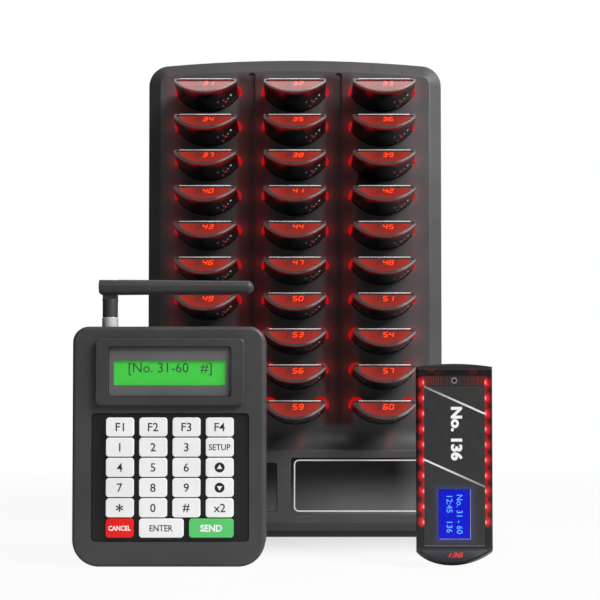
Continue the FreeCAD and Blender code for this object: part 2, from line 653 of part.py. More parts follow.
def make_rack_shell():
    """The front housing with its pockets, pillars, grooves and recesses."""
    shell = rack_form(0, 0, BACK_FRONT).cut(rack_form(PANEL_WALL, SHELL_WALL, BACK_FRONT + 1))

    entry = PAGER_NOSE_RISE  # before the panel, for every pocket
    stop = PAGER_LENGTH + MOVING_GAP
    sleeve = pager_prism(-POCKET_GAP - POCKET_WALL, entry, stop + POCKET_WALL)
    bore = pager_prism(-POCKET_GAP, 0, stop)
    mouth = block(
        -MOUTH_WIDTH / 2,
        MOUTH_WIDTH / 2,
        CONTACT_DROP - MOUTH_HEIGHT / 2,
        CONTACT_DROP + MOUTH_HEIGHT / 2,
        PAGER_LENGTH / 2,
        stop + 2 * POCKET_WALL,
    )
    hollow = bore.fuse(mouth)
    inside = block(-HALF_RACK, HALF_RACK, RACK_FRONT + PANEL_WALL / 2, BACK_FRONT, 0, RACK_TOP)
    places = [(column, row) for column in range(COLUMNS) for row in range(ROWS)]
    sleeves = [dock(sleeve, *place).common(inside) for place in places]
    walls_middle = rack_form(PANEL_WALL / 2, SHELL_WALL / 2, BACK_FRONT)
    pillars = [rod(x, CHIN_FRONT, BACK_FRONT, z, PILLAR_RADIUS) for x, z in rack_pillars()]
    shell = shell.fuse(sleeves + [pillar.common(walls_middle) for pillar in pillars])

    cuts = [dock(hollow, *place) for place in places]
    for x, z in rack_pillars():
        cuts.append(rod(x, BACK_FRONT - SCREW_LENGTH, BACK_FRONT + 1, z, SCREW_RADIUS + PIN_GAP))
    groove_bottom = COVE_TOP + GROOVE_MARGIN_BOTTOM
    groove_height = RACK_TOP - GROOVE_MARGIN_TOP - groove_bottom
    for side in (-1, 1):
        groove = rounded_plate(
            side * COLUMN_PITCH / 2,
            groove_bottom + groove_height / 2,
            GROOVE_WIDTH,
            groove_height,
            0.49 * GROOVE_WIDTH,
            RACK_FRONT - 1,
            RACK_FRONT + GROOVE_DEPTH,
        )
        cuts.append(groove)
    cuts += chin_plates(FIXED_GAP, PLATE_RECESS)
    save("rack_front_shell", shell.cut(cuts).removeSplitter())


def rack_pillars():
    """Where the front housing's screw pillars stand."""
    high = RACK_TOP - PILLAR_TOP_MARGIN
    heights = (PILLAR_BOTTOM, (PILLAR_BOTTOM + high) / 2, high)
    return mirrored_pairs([(PILLAR_OFFSET, height) for height in heights])


def make_chin_plates():
    """The two glossy plates in the chin: the notice plate and the plain one."""
    save("rack_chin_plates", *chin_plates(0, PLATE_THICKNESS))


def chin_plates(grow, depth):
    """The chin's plates, grown by a gap, with a depth measured from their recess's floor."""
    back = CHIN_FRONT + PLATE_RECESS
    edge = HALF_RACK - RIM_WIDTH - PLATE_MARGIN
    sizes = (
        (edge - NOTICE_WIDTH / 2, NOTICE_BOTTOM, NOTICE_WIDTH, NOTICE_HEIGHT),
        (PLAIN_WIDTH / 2 - edge, PLAIN_BOTTOM, PLAIN_WIDTH, PLAIN_HEIGHT),
    )
    plates = []
    for x, bottom, width, height in sizes:
        middle = bottom + height / 2
        corner = PLATE_CORNER + grow
        plates.append(
            rounded_plate(x, middle, width + 2 * grow, height + 2 * grow, corner, back - depth, back)
        )
    return plates


def make_rack_back():
    """The flat back with its lip, standoffs, screw holes, wall holes, vents and the inlet's hole."""
    plate = along_y(rack_wire(0, 0), BACK_FRONT, RACK_REAR)
    plate = plate.makeFillet(BACK_EDGE, edges_at(plate, RACK_REAR))
    lip_inset = SHELL_WALL + MOVING_GAP
    lip = along_y(rack_wire(lip_inset, 0), BACK_FRONT - LIP_DEPTH, BACK_FRONT)
    lip = lip.cut(along_y(rack_wire(lip_inset + LIP_THICKNESS, 0), BACK_FRONT - 2 * LIP_DEPTH, BACK_FRONT))
    back = plate.fuse(lip)
    back = back.fuse([rod(x, board_back(), BACK_FRONT, z, STANDOFF_RADIUS) for x, z in standoff_places()])

    cuts = []
    for x, z in rack_pillars():
        cuts.append(rod(x, BACK_FRONT - 1, RACK_REAR + 1, z, SCREW_HOLE))
        cuts.append(rod(x, RACK_REAR - COUNTERBORE_DEPTH, RACK_REAR + 1, z, COUNTERBORE_RADIUS))
    wall_heights = (WALL_HOLE_BOTTOM, WALL_HOLE_BOTTOM + WALL_HOLE_RISE)
    for x, z in mirrored_pairs([(PILLAR_OFFSET, height) for height in wall_heights]):
        cuts.append(rod(x, BACK_FRONT - LIP_DEPTH - 1, RACK_REAR + 1, z, WALL_HOLE_RADIUS))
    for vent in range(VENT_COUNT):
        x = (vent - (VENT_COUNT - 1) / 2) * VENT_PITCH
        cuts.append(
            rounded_plate(
                x, VENT_MIDDLE, VENT_WIDTH, VENT_HEIGHT, 0.49 * VENT_WIDTH, BACK_FRONT - 1, RACK_REAR + 1
            )
        )
    cuts.append(rod(RACK_JACK[0], BACK_FRONT - 1, RACK_REAR + 1, RACK_JACK[1], JACK_RADIUS + FIXED_GAP))
    save("rack_rear_cover", back.cut(cuts).removeSplitter())


def board_back():
    """The plane of the charging board's rear face."""
    return BACK_FRONT - BOARD_STANDOFF


def standoff_places():
    """Where the back's standoffs carry the charging board."""
    side = BOARD_WIDTH / 2 - 2 * STANDOFF_RADIUS
    low, high = BOARD_BOTTOM + 2 * STANDOFF_RADIUS, BOARD_TOP - 2 * STANDOFF_RADIUS
    return mirrored_pairs([(side, low), (side, (low + high) / 2), (side, high)])


def make_charging_board():
    """The board behind the pockets, and two contact pins for each pocket."""
    half = BOARD_WIDTH / 2
    save("charging_board", block(-half, half, BOARD_FRONT, board_back(), BOARD_BOTTOM, BOARD_TOP))

    tilt = math.radians(SLOT_TILT)
    end_y = DOCKED_END - CONTACT_DROP * math.sin(tilt)
    end_z = ROW_TOP - DOCKED_DROP - CONTACT_DROP * math.cos(tilt)
    start_y = end_y + MOVING_GAP + CONTACT_RADIUS * math.tan(tilt)
    pins = []
    for row in range(ROWS):
        for column in range(COLUMNS):
            x = (column - (COLUMNS - 1) / 2) * COLUMN_PITCH
            for side in (-1, 1):
                z = end_z - row * ROW_PITCH
                pins.append(rod(x + side * CONTACT_SPREAD, start_y, BOARD_FRONT, z, CONTACT_RADIUS))
    save("charging_contacts", *pins)


def make_foot_pad():
    """The rubber pad that the rack stands on."""
    front = CHIN_FRONT + RIM_DEPTH
    rear = RACK_REAR - FOOT_INSET
    pad = block(-HALF_RACK + FOOT_INSET, HALF_RACK - FOOT_INSET, front, rear, 0, FOOT_HEIGHT)
    save("rack_foot_pad", pad.makeFillet(FOOT_CORNER, edges_along(pad, Vector(0, 0, 1))))


# ---------------------------------------------------------------- screws and inlets

def screw(x, z, seat):
    """A screw from behind: its head's underside at seat, its thread towards -Y."""
    head = rod(x, seat, seat + SCREW_HEAD_HEIGHT, z, SCREW_HEAD_RADIUS)
    thread = rod(x, seat - SCREW_LENGTH + MOVING_GAP, seat, z, SCREW_RADIUS)
    socket = rod(x, seat + SCREW_HEAD_HEIGHT / 2, seat + SCREW_HEAD_HEIGHT, z, SCREW_RADIUS)
    return head.fuse(thread).cut(socket).removeSplitter()


def jack(mouth, outward, wall):
    """A power inlet: a barrel with its bore, and a nut against the inner face of the wall it passes."""
    inward = outward * -1
    barrel = Part.makeCylinder(JACK_RADIUS, JACK_LENGTH, mouth, inward)
    nut = Part.makeCylinder(JACK_NUT_RADIUS, JACK_NUT_HEIGHT, mouth + inward * wall, inward)
    bore = Part.makeCylinder(JACK_BORE, JACK_BORE_DEPTH, mouth, inward)
    return barrel.fuse(nut).cut(bore).removeSplitter()


def make_fasteners():
    """All the case screws, and the two power inlets."""
    rack_seat = RACK_REAR - COUNTERBORE_DEPTH
    tx_seat = TX_REAR - COUNTERBORE_DEPTH
    screws = [screw(x, z, rack_seat) for x, z in rack_pillars()]
    screws += [screw(TX_X + x, z, tx_seat) for x, z in mirrored_pairs(TX_PILLARS)]
    save("case_screws", *screws)
    save(
        "dc_jacks",
        jack(Vector(RACK_JACK[0], RACK_REAR, RACK_JACK[1]), Vector(0, 1, 0), BACK_THICKNESS),
        jack(Vector(TX_X - TX_WIDTH / 2, TX_JACK_Y, TX_JACK_HEIGHT), Vector(-1, 0, 0), TX_WALL),
    )


# ---------------------------------------------------------------- transmitter

def tx_block(inset, front, rear):
    """The transmitter's outline as a block, moved inwards by an inset."""
    width, height = TX_WIDTH - 2 * inset, TX_HEIGHT - 2 * inset
    shape = block(TX_X - width / 2, TX_X + width / 2, front, rear, inset, inset + height)
    upright = edges_along(shape, Vector(0, 1, 0))
    top = [edge for edge in upright if edge.BoundBox.ZMin > TX_HEIGHT / 2]
    bottom = [edge for edge in upright if edge.BoundBox.ZMin < TX_HEIGHT / 2]
    shape = shape.makeFillet(TX_TOP_CORNER - inset, top)
    bottom = [
        edge for edge in edges_along(shape, Vector(0, 1, 0)) if edge.BoundBox.ZMax < inset + 0.01
    ]
    return shape.makeFillet(TX_BOTTOM_CORNER - inset, bottom)


def tx_opening(width, height, middle, y0, y1, corner):
    """A rounded block on the middle line of the display and the keypad."""
    return rounded_plate(FACE_X, middle, width, height, corner, y0, y1)


def keypad_opening(grow, y0, y1):
    """The keypad's opening, grown by a margin."""
    height = KEYPAD_TOP - KEYPAD_BOTTOM + 2 * grow
    middle = (KEYPAD_TOP + KEYPAD_BOTTOM) / 2
    return tx_opening(KEYPAD_WIDTH + 2 * grow, height, middle, y0, y1, KEYPAD_CORNER + max(grow, 0))


def lcd_opening(grow, y0, y1):
    """The display's viewing area as a block, grown by a margin."""
    width, height = LCD_VIEW_WIDTH + 2 * grow, LCD_VIEW_HEIGHT + 2 * grow
    return tx_opening(width, height, LCD_MIDDLE, y0, y1, LCD_MARGIN)


def make_tx_cases():
    """The two halves of the transmitter's case."""
    outer = tx_block(0, TX_FRONT, TX_REAR)
    outer = outer.makeFillet(TX_EDGE, edges_at(outer, TX_FRONT))
    outer = outer.makeFillet(TX_EDGE, edges_at(outer, TX_REAR))
    shell = outer.cut(tx_block(TX_WALL, TX_FACE_BACK, TX_REAR - TX_WALL))
    front_zone = block(TX_X - TX_WIDTH, TX_X + TX_WIDTH, TX_FRONT - 1, TX_JOINT, -1, TX_HEIGHT + 1)
    rear_zone = block(TX_X - TX_WIDTH, TX_X + TX_WIDTH, TX_JOINT, TX_REAR + 1, -1, TX_HEIGHT + 1)

    pillars = [(TX_X + x, z) for x, z in mirrored_pairs(TX_PILLARS)]
    front = shell.common(front_zone)
    stems = [rod(x, TX_FACE_BACK - 1, TX_JOINT, z, TX_PILLAR_RADIUS) for x, z in pillars]
    front = front.fuse([stem.common(outer) for stem in stems])
    posts = [(TX_X + x, z) for x, z in mirrored_pairs(TX_FRONT_POSTS)]
    front = front.fuse([rod(x, TX_FACE_BACK - 1, TX_BOARD_FRONT, z, TX_POST_RADIUS) for x, z in posts])
    cuts = [keypad_opening(0, TX_FRONT - 1, TX_FACE_BACK)]
    cuts.append(lcd_opening(LCD_MARGIN + FIXED_GAP, TX_FRONT - 1, TX_FACE_BACK))
    stud_hole = STUD_RADIUS + FIXED_GAP
    cuts.append(post(TX_X + ANTENNA_X, ANTENNA_Y, TX_HEIGHT - 2 * TX_WALL, TX_HEIGHT + 1, stud_hole))
    screw_bottom = TX_REAR - COUNTERBORE_DEPTH - SCREW_LENGTH
    cuts += [rod(x, screw_bottom, TX_JOINT + 1, z, SCREW_RADIUS + PIN_GAP) for x, z in pillars]
    save("tx_front_case", front.cut(cuts).removeSplitter())

    rear = shell.common(rear_zone)
    stems = [rod(x, TX_JOINT, TX_REAR - 1, z, TX_PILLAR_RADIUS) for x, z in pillars]
    rear = rear.fuse([stem.common(outer) for stem in stems])
    posts = [(TX_X + x, z) for x, z in mirrored_pairs(TX_REAR_POSTS)]
    rear = rear.fuse([rod(x, TX_BOARD_BACK, TX_REAR - 1, z, TX_POST_RADIUS) for x, z in posts])
    cuts = []
    for x, z in pillars:
        cuts.append(rod(x, TX_JOINT - 1, TX_REAR + 1, z, SCREW_HOLE))
        cuts.append(rod(x, TX_REAR - COUNTERBORE_DEPTH, TX_REAR + 1, z, COUNTERBORE_RADIUS))
    jack_start = Vector(TX_X - TX_WIDTH / 2 - 1, TX_JACK_Y, TX_JACK_HEIGHT)
    cuts.append(Part.makeCylinder(JACK_RADIUS + FIXED_GAP, 2 * TX_WALL, jack_start, Vector(1, 0, 0)))
    save("tx_rear_case", rear.cut(cuts).removeSplitter())


def make_display():
    """The hood, the bezel with its aperture and the display module."""
    hood = tx_opening(HOOD_WIDTH, HOOD_HEIGHT, HOOD_MIDDLE, TX_FRONT - HOOD_PROUD, TX_FRONT, HOOD_CORNER)
    hood = hood.makeFillet(TX_EDGE / 3, edges_at(hood, TX_FRONT - HOOD_PROUD))
    opening_gap = 2 * FIXED_GAP
    hood = hood.cut(
        tx_opening(
            BEZEL_WIDTH + opening_gap,
            BEZEL_HEIGHT + opening_gap,
            BEZEL_MIDDLE,
            TX_FRONT - 2 * HOOD_PROUD,
            TX_FRONT + 1,
            BEZEL_CORNER,
        )
    )
    save("display_hood", hood)

    bezel_front = TX_FRONT - BEZEL_THICKNESS
    bezel = tx_opening(BEZEL_WIDTH, BEZEL_HEIGHT, BEZEL_MIDDLE, bezel_front, TX_FRONT, BEZEL_CORNER)
    save("display_bezel", bezel.cut(lcd_opening(0, bezel_front - 1, TX_FRONT + 1)))

    glass = lcd_opening(LCD_MARGIN, TX_FRONT, TX_FACE_BACK)
    frame = tx_opening(
        LCD_FRAME_WIDTH, LCD_FRAME_HEIGHT, LCD_MIDDLE, TX_FACE_BACK, TX_BOARD_FRONT, LCD_MARGIN
    )
    save("lcd_module", glass.fuse(frame).removeSplitter())


def key_places():
    """Each key's name with its middle in x and z and its width."""
    places = []
    for row, names in enumerate(KEY_ROWS):
        z = KEY_TOP_ROW - row * KEY_PITCH_Z
        for column, name in enumerate(names):
            places.append((name, (column - (len(names) - 1) / 2) * KEY_PITCH_X, z, KEY_WIDTH))
    gap = KEY_PITCH_X - KEY_WIDTH
    wide = (KEY_SPAN - KEY_WIDTH - 2 * gap) / 2
    z = KEY_TOP_ROW - len(KEY_ROWS) * KEY_PITCH_Z
    left = -KEY_SPAN / 2
    for name, width in zip(WIDE_KEY_ROW, (KEY_WIDTH, wide, wide)):
        places.append((name, left + width / 2, z, width))
        left += width + gap
    return places


def key_stem(x, z, width, grow, y0, y1):
    """A key's stem, or the hole that guides it."""
    return rounded_plate(
        FACE_X + x,
        z,
        width - 2 * STEM_MARGIN_X + 2 * grow,
        KEY_HEIGHT - 2 * STEM_MARGIN_Z + 2 * grow,
        STEM_CORNER + grow,
        y0,
        y1,
    )


def make_keypad():
    """The keys, the plate that guides them and the dome sheet behind it."""
    plate = keypad_opening(-FIXED_GAP, PLATE_FRONT, TX_FACE_BACK)
    plate = plate.fuse(keypad_opening(KEYPAD_FLANGE, TX_FACE_BACK, PLATE_BACK))
    holes = []
    for name, x, z, width in key_places():
        cap = rounded_plate(FACE_X + x, z, width, KEY_HEIGHT, KEY_CORNER, CAP_BACK - KEY_CAP, CAP_BACK)
        cap = cap.makeFillet(KEY_EDGE, edges_at(cap, CAP_BACK - KEY_CAP))
        save(f"key_{name}", cap.fuse(key_stem(x, z, width, 0, CAP_BACK, STEM_BACK)).removeSplitter())
        holes.append(key_stem(x, z, width, MOVING_GAP, PLATE_FRONT - 1, PLATE_BACK + 1))
    save("keypad_plate", plate.cut(holes).removeSplitter())
    save("dome_sheet", keypad_opening(KEYPAD_FLANGE / 2, SHEET_FRONT, TX_BOARD_FRONT))


def make_tx_board():
    """The transmitter's circuit board."""
    half = TX_BOARD_WIDTH / 2
    board = block(TX_X - half, TX_X + half, TX_BOARD_FRONT, TX_BOARD_BACK, TX_BOARD_BOTTOM, TX_BOARD_TOP)
    corners = edges_along(board, Vector(0, 1, 0))
    save("main_board", board.makeFillet(TX_BOTTOM_CORNER / 2, corners))


# ---------------------------------------------------------------- antenna

def make_antenna():
    """The connector, the knuckle that turns on it and the arm that tilts on its tongue."""
    x, y = TX_X + ANTENNA_X, ANTENNA_Y
    ceiling = TX_HEIGHT - TX_WALL
    connector = post(x, y, TX_HEIGHT, COLLAR_TOP, COLLAR_RADIUS)
    connector = connector.fuse(post(x, y, ceiling - STUD_NUT_HEIGHT, COLLAR_TOP + STUD_ABOVE, STUD_RADIUS))
    connector = connector.fuse(post(x, y, ceiling - STUD_NUT_HEIGHT, ceiling, STUD_NUT_RADIUS))
    save("antenna_connector", connector.removeSplitter())

    knuckle = post(x, y, KNUCKLE_BOTTOM, KNUCKLE_TOP, KNUCKLE_RADIUS)
    tongue_half = TONGUE_WIDTH / 2
    thick_half = TONGUE_THICKNESS / 2
    knuckle = knuckle.fuse(
        block(x - tongue_half, x + tongue_half, y - thick_half, y + thick_half, KNUCKLE_TOP - 1, HINGE_HEIGHT)
    )
    knuckle = knuckle.fuse(rod(x, y - thick_half, y + thick_half, HINGE_HEIGHT, tongue_half))
    bore_top = COLLAR_TOP + STUD_ABOVE + MOVING_GAP
    knuckle = knuckle.cut(post(x, y, KNUCKLE_BOTTOM - 1, bore_top, STUD_RADIUS + PIN_GAP))
    pin_hole = HINGE_PIN_RADIUS + PIN_GAP
    knuckle = knuckle.cut(rod(x, y - thick_half - 1, y + thick_half + 1, HINGE_HEIGHT, pin_hole))
    save("antenna_knuckle", knuckle.removeSplitter())

    straight = ARM_TAIL + ARM_REACH - ARM_TIP_RADIUS
    tail = Vector(x - ARM_TAIL, y, HINGE_HEIGHT)
    arm = Part.makeCone(ARM_RADIUS, ARM_TIP_RADIUS, straight, tail, Vector(1, 0, 0))
    tip = Part.makeSphere(ARM_TIP_RADIUS, Vector(x + ARM_REACH - ARM_TIP_RADIUS, y, HINGE_HEIGHT))
    arm = arm.fuse(tip)
    slot_half = thick_half + MOVING_GAP / 2
    slot_end = x + tongue_half + MOVING_GAP
    far = 2 * ARM_TAIL
    slot = block(x - far, slot_end, y - slot_half, y + slot_half, HINGE_HEIGHT - far, HINGE_HEIGHT + far)
    arm = arm.cut(slot)
    # the fork's lower corner is round, so that it clears the knuckle's shoulder as the arm rises
    corner = block(x - far, x, y - far, y + far, HINGE_HEIGHT - far, HINGE_HEIGHT)
    corner = corner.cut(rod(x, y - 2 * far, y + 2 * far, HINGE_HEIGHT, ARM_CORNER))
    arm = arm.cut(corner)
    arm = arm.fuse(rod(x, y - slot_half - 1, y + slot_half + 1, HINGE_HEIGHT, HINGE_PIN_RADIUS))
    save("antenna_arm", arm.removeSplitter())


make_docked_pagers()
make_loose_shells()
make_loose_display()
make_loose_inside()
make_rack_shell()
make_chin_plates()
make_rack_back()
make_charging_board()
make_foot_pad()
make_fasteners()
make_tx_cases()
make_display()
make_keypad()
make_tx_board()
make_antenna()
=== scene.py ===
"""Looks of the guest pager set: a charger rack with thirty docked pagers, a keypad transmitter and one
pager that stands beside them.

Metres, +Z up, +X to the right seen from the front, +Y towards the back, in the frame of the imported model.
A finish is written in millimetres where its pattern is worked out from a place on the piece.
"""

import json
import logging
import math
from dataclasses import dataclass, field
from enum import Enum
from typing import Callable

import bmesh
import bpy
from mathutils import Matrix, Vector

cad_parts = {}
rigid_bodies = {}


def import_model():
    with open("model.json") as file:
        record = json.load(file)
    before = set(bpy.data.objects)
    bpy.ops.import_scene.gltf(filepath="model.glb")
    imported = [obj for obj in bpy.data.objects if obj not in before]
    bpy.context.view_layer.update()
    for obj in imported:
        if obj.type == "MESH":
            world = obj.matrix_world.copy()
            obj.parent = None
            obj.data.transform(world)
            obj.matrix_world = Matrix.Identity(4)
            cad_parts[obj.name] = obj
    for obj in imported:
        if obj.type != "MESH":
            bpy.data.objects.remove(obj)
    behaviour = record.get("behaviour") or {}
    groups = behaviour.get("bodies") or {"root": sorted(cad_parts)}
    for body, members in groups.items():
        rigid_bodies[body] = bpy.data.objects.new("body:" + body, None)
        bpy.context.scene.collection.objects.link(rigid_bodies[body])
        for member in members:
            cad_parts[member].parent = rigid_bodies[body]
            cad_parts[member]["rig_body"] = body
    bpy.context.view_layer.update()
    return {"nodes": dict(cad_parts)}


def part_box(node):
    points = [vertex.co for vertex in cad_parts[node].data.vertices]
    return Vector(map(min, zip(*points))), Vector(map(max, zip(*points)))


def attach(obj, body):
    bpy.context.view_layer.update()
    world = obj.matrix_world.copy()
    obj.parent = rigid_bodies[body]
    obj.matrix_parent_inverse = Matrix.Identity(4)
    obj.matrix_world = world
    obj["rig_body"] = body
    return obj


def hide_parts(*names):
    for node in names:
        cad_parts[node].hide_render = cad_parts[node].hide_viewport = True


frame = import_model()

log = logging.getLogger("pager_set")

BMesh = bmesh.types.BMesh
Face = bmesh.types.BMFace
Material = bpy.types.Material
Socket = bpy.types.NodeSocket
Term = float | Socket
Colour = tuple[float, float, float]
Dress = Material | Callable[[Face], Material]

MM = 0.001
MERGE = 1e-6  # vertices nearer than this are one
FLAT = math.radians(0.3)  # faces that differ less are one flat face
SHARP = math.radians(32)  # edges that turn more than this stay sharp in the shading
INK = 0.05 * MM  # half the thickness of a printed legend
BLACK = (0.0, 0.0, 0.0)
SLOTS = {name: node.material_slots[0].name for name, node in frame["nodes"].items()}


def tone(code: str) -> Colour:
    """A colour as the renderer counts it.

    Args:
        code: six hexadecimal digits, as a screen shows the colour.

    Returns:
        Its linear red, green and blue.
    """
    channels = [int(code[start:start + 2], 16) / 255 for start in (0, 2, 4)]
    return tuple(c / 12.92 if c <= 0.04045 else ((c + 0.055) / 1.055) ** 2.4 for c in channels)


# ---------------------------------------------------------------- finishes


class NodeBoard:
    """A node tree in the making, and short calls for the nodes that its users share."""

    def __init__(self, tree: bpy.types.NodeTree) -> None:
        """Start with an empty tree.

        Args:
            tree: the tree, which is cleared.
        """
        self.tree = tree
        self.tree.nodes.clear()

    def add(self, kind: str, **settings: object) -> bpy.types.Node:
        """Add a node.

        Args:
            kind: the node's type.
            settings: properties of the node.

        Returns:
            The node.
        """
        node = self.tree.nodes.new(kind)
        for key, value in settings.items():
            setattr(node, key, value)
        return node

    def link(self, source: Socket, target: Socket) -> None:
        """Join two sockets."""
        self.tree.links.new(source, target)

    def feed(self, target: Socket, value: object) -> None:
        """Give a socket a value, or the output of another node.

        Args:
            target: the socket.
            value: a number, a colour or a socket.
        """
        if isinstance(value, bpy.types.NodeSocket):
            self.link(value, target)
        elif isinstance(value, tuple) and len(value) == 3 and len(target.default_value) == 4:
            target.default_value = (*value, 1.0)
        else:
            target.default_value = value

    def math(self, operation: str, *terms: Term) -> Socket:
        """One step of arithmetic.

        Args:
            operation: the step's name.
            terms: numbers or sockets.

        Returns:
            The result.
        """
        node = self.add("ShaderNodeMath", operation=operation)
        for socket, term in zip(node.inputs, terms):
            self.feed(socket, term)
        return node.outputs[0]

    def sum(self, *terms: Term) -> Socket:
        """Several numbers added up.

        Args:
            terms: numbers or sockets.

        Returns:
            Their sum.
        """
        total = terms[0]
        for term in terms[1:]:
            total = self.math("ADD", total, term)
        return total

    def product(self, *terms: Term) -> Socket:
        """Several numbers multiplied.

        Args:
            terms: numbers or sockets.

        Returns:
            Their product.
        """
        total = terms[0]
        for term in terms[1:]:
            total = self.math("MULTIPLY", total, term)
        return total

    def step(
        self,
        value: Term,
        start: float,
        end: float,
        low: float = 0.0,
        high: float = 1.0,
        shape: str = "SMOOTHSTEP",
    ) -> Socket:
        """A step between two values.

        Args:
            value: what steps.
            start: where the step starts; it may lie above the end.
            end: where it ends.
            low: the result before the start.
            high: the result past the end.
            shape: how it runs, SMOOTHSTEP or LINEAR.

        Returns:
            The stepped value.
        """
        node = self.add("ShaderNodeMapRange", interpolation_type=shape)
        if start > end:
            start, end, low, high = end, start, high, low
        for socket, term in zip(node.inputs, (value, start, end, low, high)):
            self.feed(socket, term)
        return node.outputs[0]

    def bell(self, value: Term, middle: float, width: float) -> Socket:
        """A bell curve: 1 at the middle and about a third one width away.

        Args:
            value: where on the curve.
            middle: the curve's middle.
            width: the curve's width.

        Returns:
            The height of the curve.
        """
        away = self.math("DIVIDE", self.math("SUBTRACT", value, middle), width)
        return self.math("EXPONENT", self.product(away, away, -1.0))

    def distance(self, across: Term, up: Term) -> Socket:
        """How far a place lies from a middle.

        Args:
            across: its distance from the middle along one axis.
            up: the same along the other axis.

        Returns:
            The distance.
        """
        return self.math("SQRT", self.sum(self.product(across, across), self.product(up, up)))

    def mix(self, share: Term, under: Socket, over: Socket) -> Socket:
        """Mix two shaders.

        Args:
            share: how much of the upper shader shows.
            under: the lower shader.
            over: the upper shader.

        Returns:
            The mixed shader.
        """
        node = self.add("ShaderNodeMixShader")
        for socket, value in zip(node.inputs, (share, under, over)):
            self.feed(socket, value)
        return node.outputs[0]

    def surround(self, colour: object, strength: float = 1.0) -> Socket:
        """The light of a world.

        Args:
            colour: its colour, or a number for a grey.
            strength: its strength.

        Returns:
            The shader.
        """
        node = self.add("ShaderNodeBackground")
        self.feed(node.inputs["Color"], colour)
        self.feed(node.inputs["Strength"], strength)
        return node.outputs[0]


class Bench(NodeBoard):
    """A material in the making: its shader, its patterns and its colours."""

    def __init__(self, name: str) -> None:
        """Start a material with one plain shader.

        Args:
            name: the material's name.
        """
        self.material = bpy.data.materials.new(name)
        self.material.use_nodes = True
        super().__init__(self.material.node_tree)
        self.shader = self.add("ShaderNodeBsdfPrincipled")
        self.surface = self.add("ShaderNodeOutputMaterial").inputs["Surface"]
        self.link(self.shader.outputs["BSDF"], self.surface)
        self.place = self.add("ShaderNodeTexCoord").outputs["Object"]

    def set(self, **inputs: object) -> None:
        """Set the shader's inputs.

        Args:
            inputs: values by the input's name, with _ for a space.
        """
        for key, value in inputs.items():
            self.feed(self.shader.inputs[key.replace("_", " ")], value)

    def glow(self, colour: object, strength: float = 1.0) -> None:
        """Let the surface give off light of its own.

        Args:
            colour: the light's colour.
            strength: the light's strength.
        """
        self.set(Emission_Color=colour, Emission_Strength=strength)

    def noise(self, size: float, detail: float = 2.0, stretch: tuple = (1.0, 1.0, 1.0)) -> Socket:
        """Soft noise over the piece.

        Args:
            size: the size of its patches, in millimetres.
            detail: how many finer layers it has.
            stretch: how much finer it is along each axis.

        Returns:
            The noise, from 0 to 1.
        """
        turn = self.add("ShaderNodeMapping")
        self.link(self.place, turn.inputs["Vector"])
        turn.inputs["Scale"].default_value = stretch
        node = self.add("ShaderNodeTexNoise")
        self.link(turn.outputs[0], node.inputs["Vector"])
        node.inputs["Scale"].default_value = 1.0 / (size * MM)
        node.inputs["Detail"].default_value = detail
        return node.outputs["Fac"]

    def uneven(self, size: float, low: float, high: float, start: float = 0.3, end: float = 0.7) -> Socket:
        """A value that drifts over the piece.

        Args:
            size: the size of its patches, in millimetres.
            low: the least value.
            high: the greatest value.
            start: the noise below which it is least.
            end: the noise above which it is greatest.

        Returns:
            The value.
        """
        return self.step(self.noise(size), start, end, low, high)

    def blend(self, share: Term, under: object, over: object) -> Socket:
        """Mix two colours.

        Args:
            share: how much of the upper colour shows.
            under: the lower colour.
            over: the upper colour.

        Returns:
            The mixed colour.
        """
        node = self.add("ShaderNodeMix", data_type="RGBA")
        for socket, value in zip((node.inputs[0], node.inputs[6], node.inputs[7]), (share, under, over)):
            self.feed(socket, value)
        return node.outputs[2]

    def millimetres(self, place: Socket) -> tuple[Socket, Socket, Socket]:
        """A place's x, y and z in millimetres.

        Args:
            place: the place in metres.

        Returns:
            The three numbers.
        """
        larger = self.add("ShaderNodeVectorMath", operation="SCALE")
        self.link(place, larger.inputs[0])
        larger.inputs["Scale"].default_value = 1.0 / MM
        apart = self.add("ShaderNodeSeparateXYZ")
        self.link(larger.outputs[0], apart.inputs[0])
        return tuple(apart.outputs)

    def kept_place(self, name: str) -> tuple[Socket, Socket, Socket]:
        """The place that a point attribute keeps.

        Args:
            name: the attribute's name.

        Returns:
            Its x, y and z in millimetres.
        """
        return self.millimetres(self.add("ShaderNodeAttribute", attribute_name=name).outputs["Vector"])

    def bump(self, height: Socket, depth: float) -> None:
        """Raise the surface by a pattern.

        Args:
            height: the pattern, from 0 to 1.
            depth: its full height in millimetres.
        """
        node = self.add("ShaderNodeBump")
        node.inputs["Distance"].default_value = depth * MM
        self.link(height, node.inputs["Height"])
        self.link(node.outputs[0], self.shader.inputs["Normal"])


@dataclass(frozen=True)
class Finish:
    """A finish; each kind sets up its own shader."""

    name: str

    def dress(self, bench: Bench) -> None:
        """Set up the finish.

        Args:
            bench: the material in the making.
        """
        raise NotImplementedError

    def make(self) -> Material:
        """Make the material.

        Returns:
            The material.
        """
        bench = Bench(self.name)
        self.dress(bench)
        return bench.material


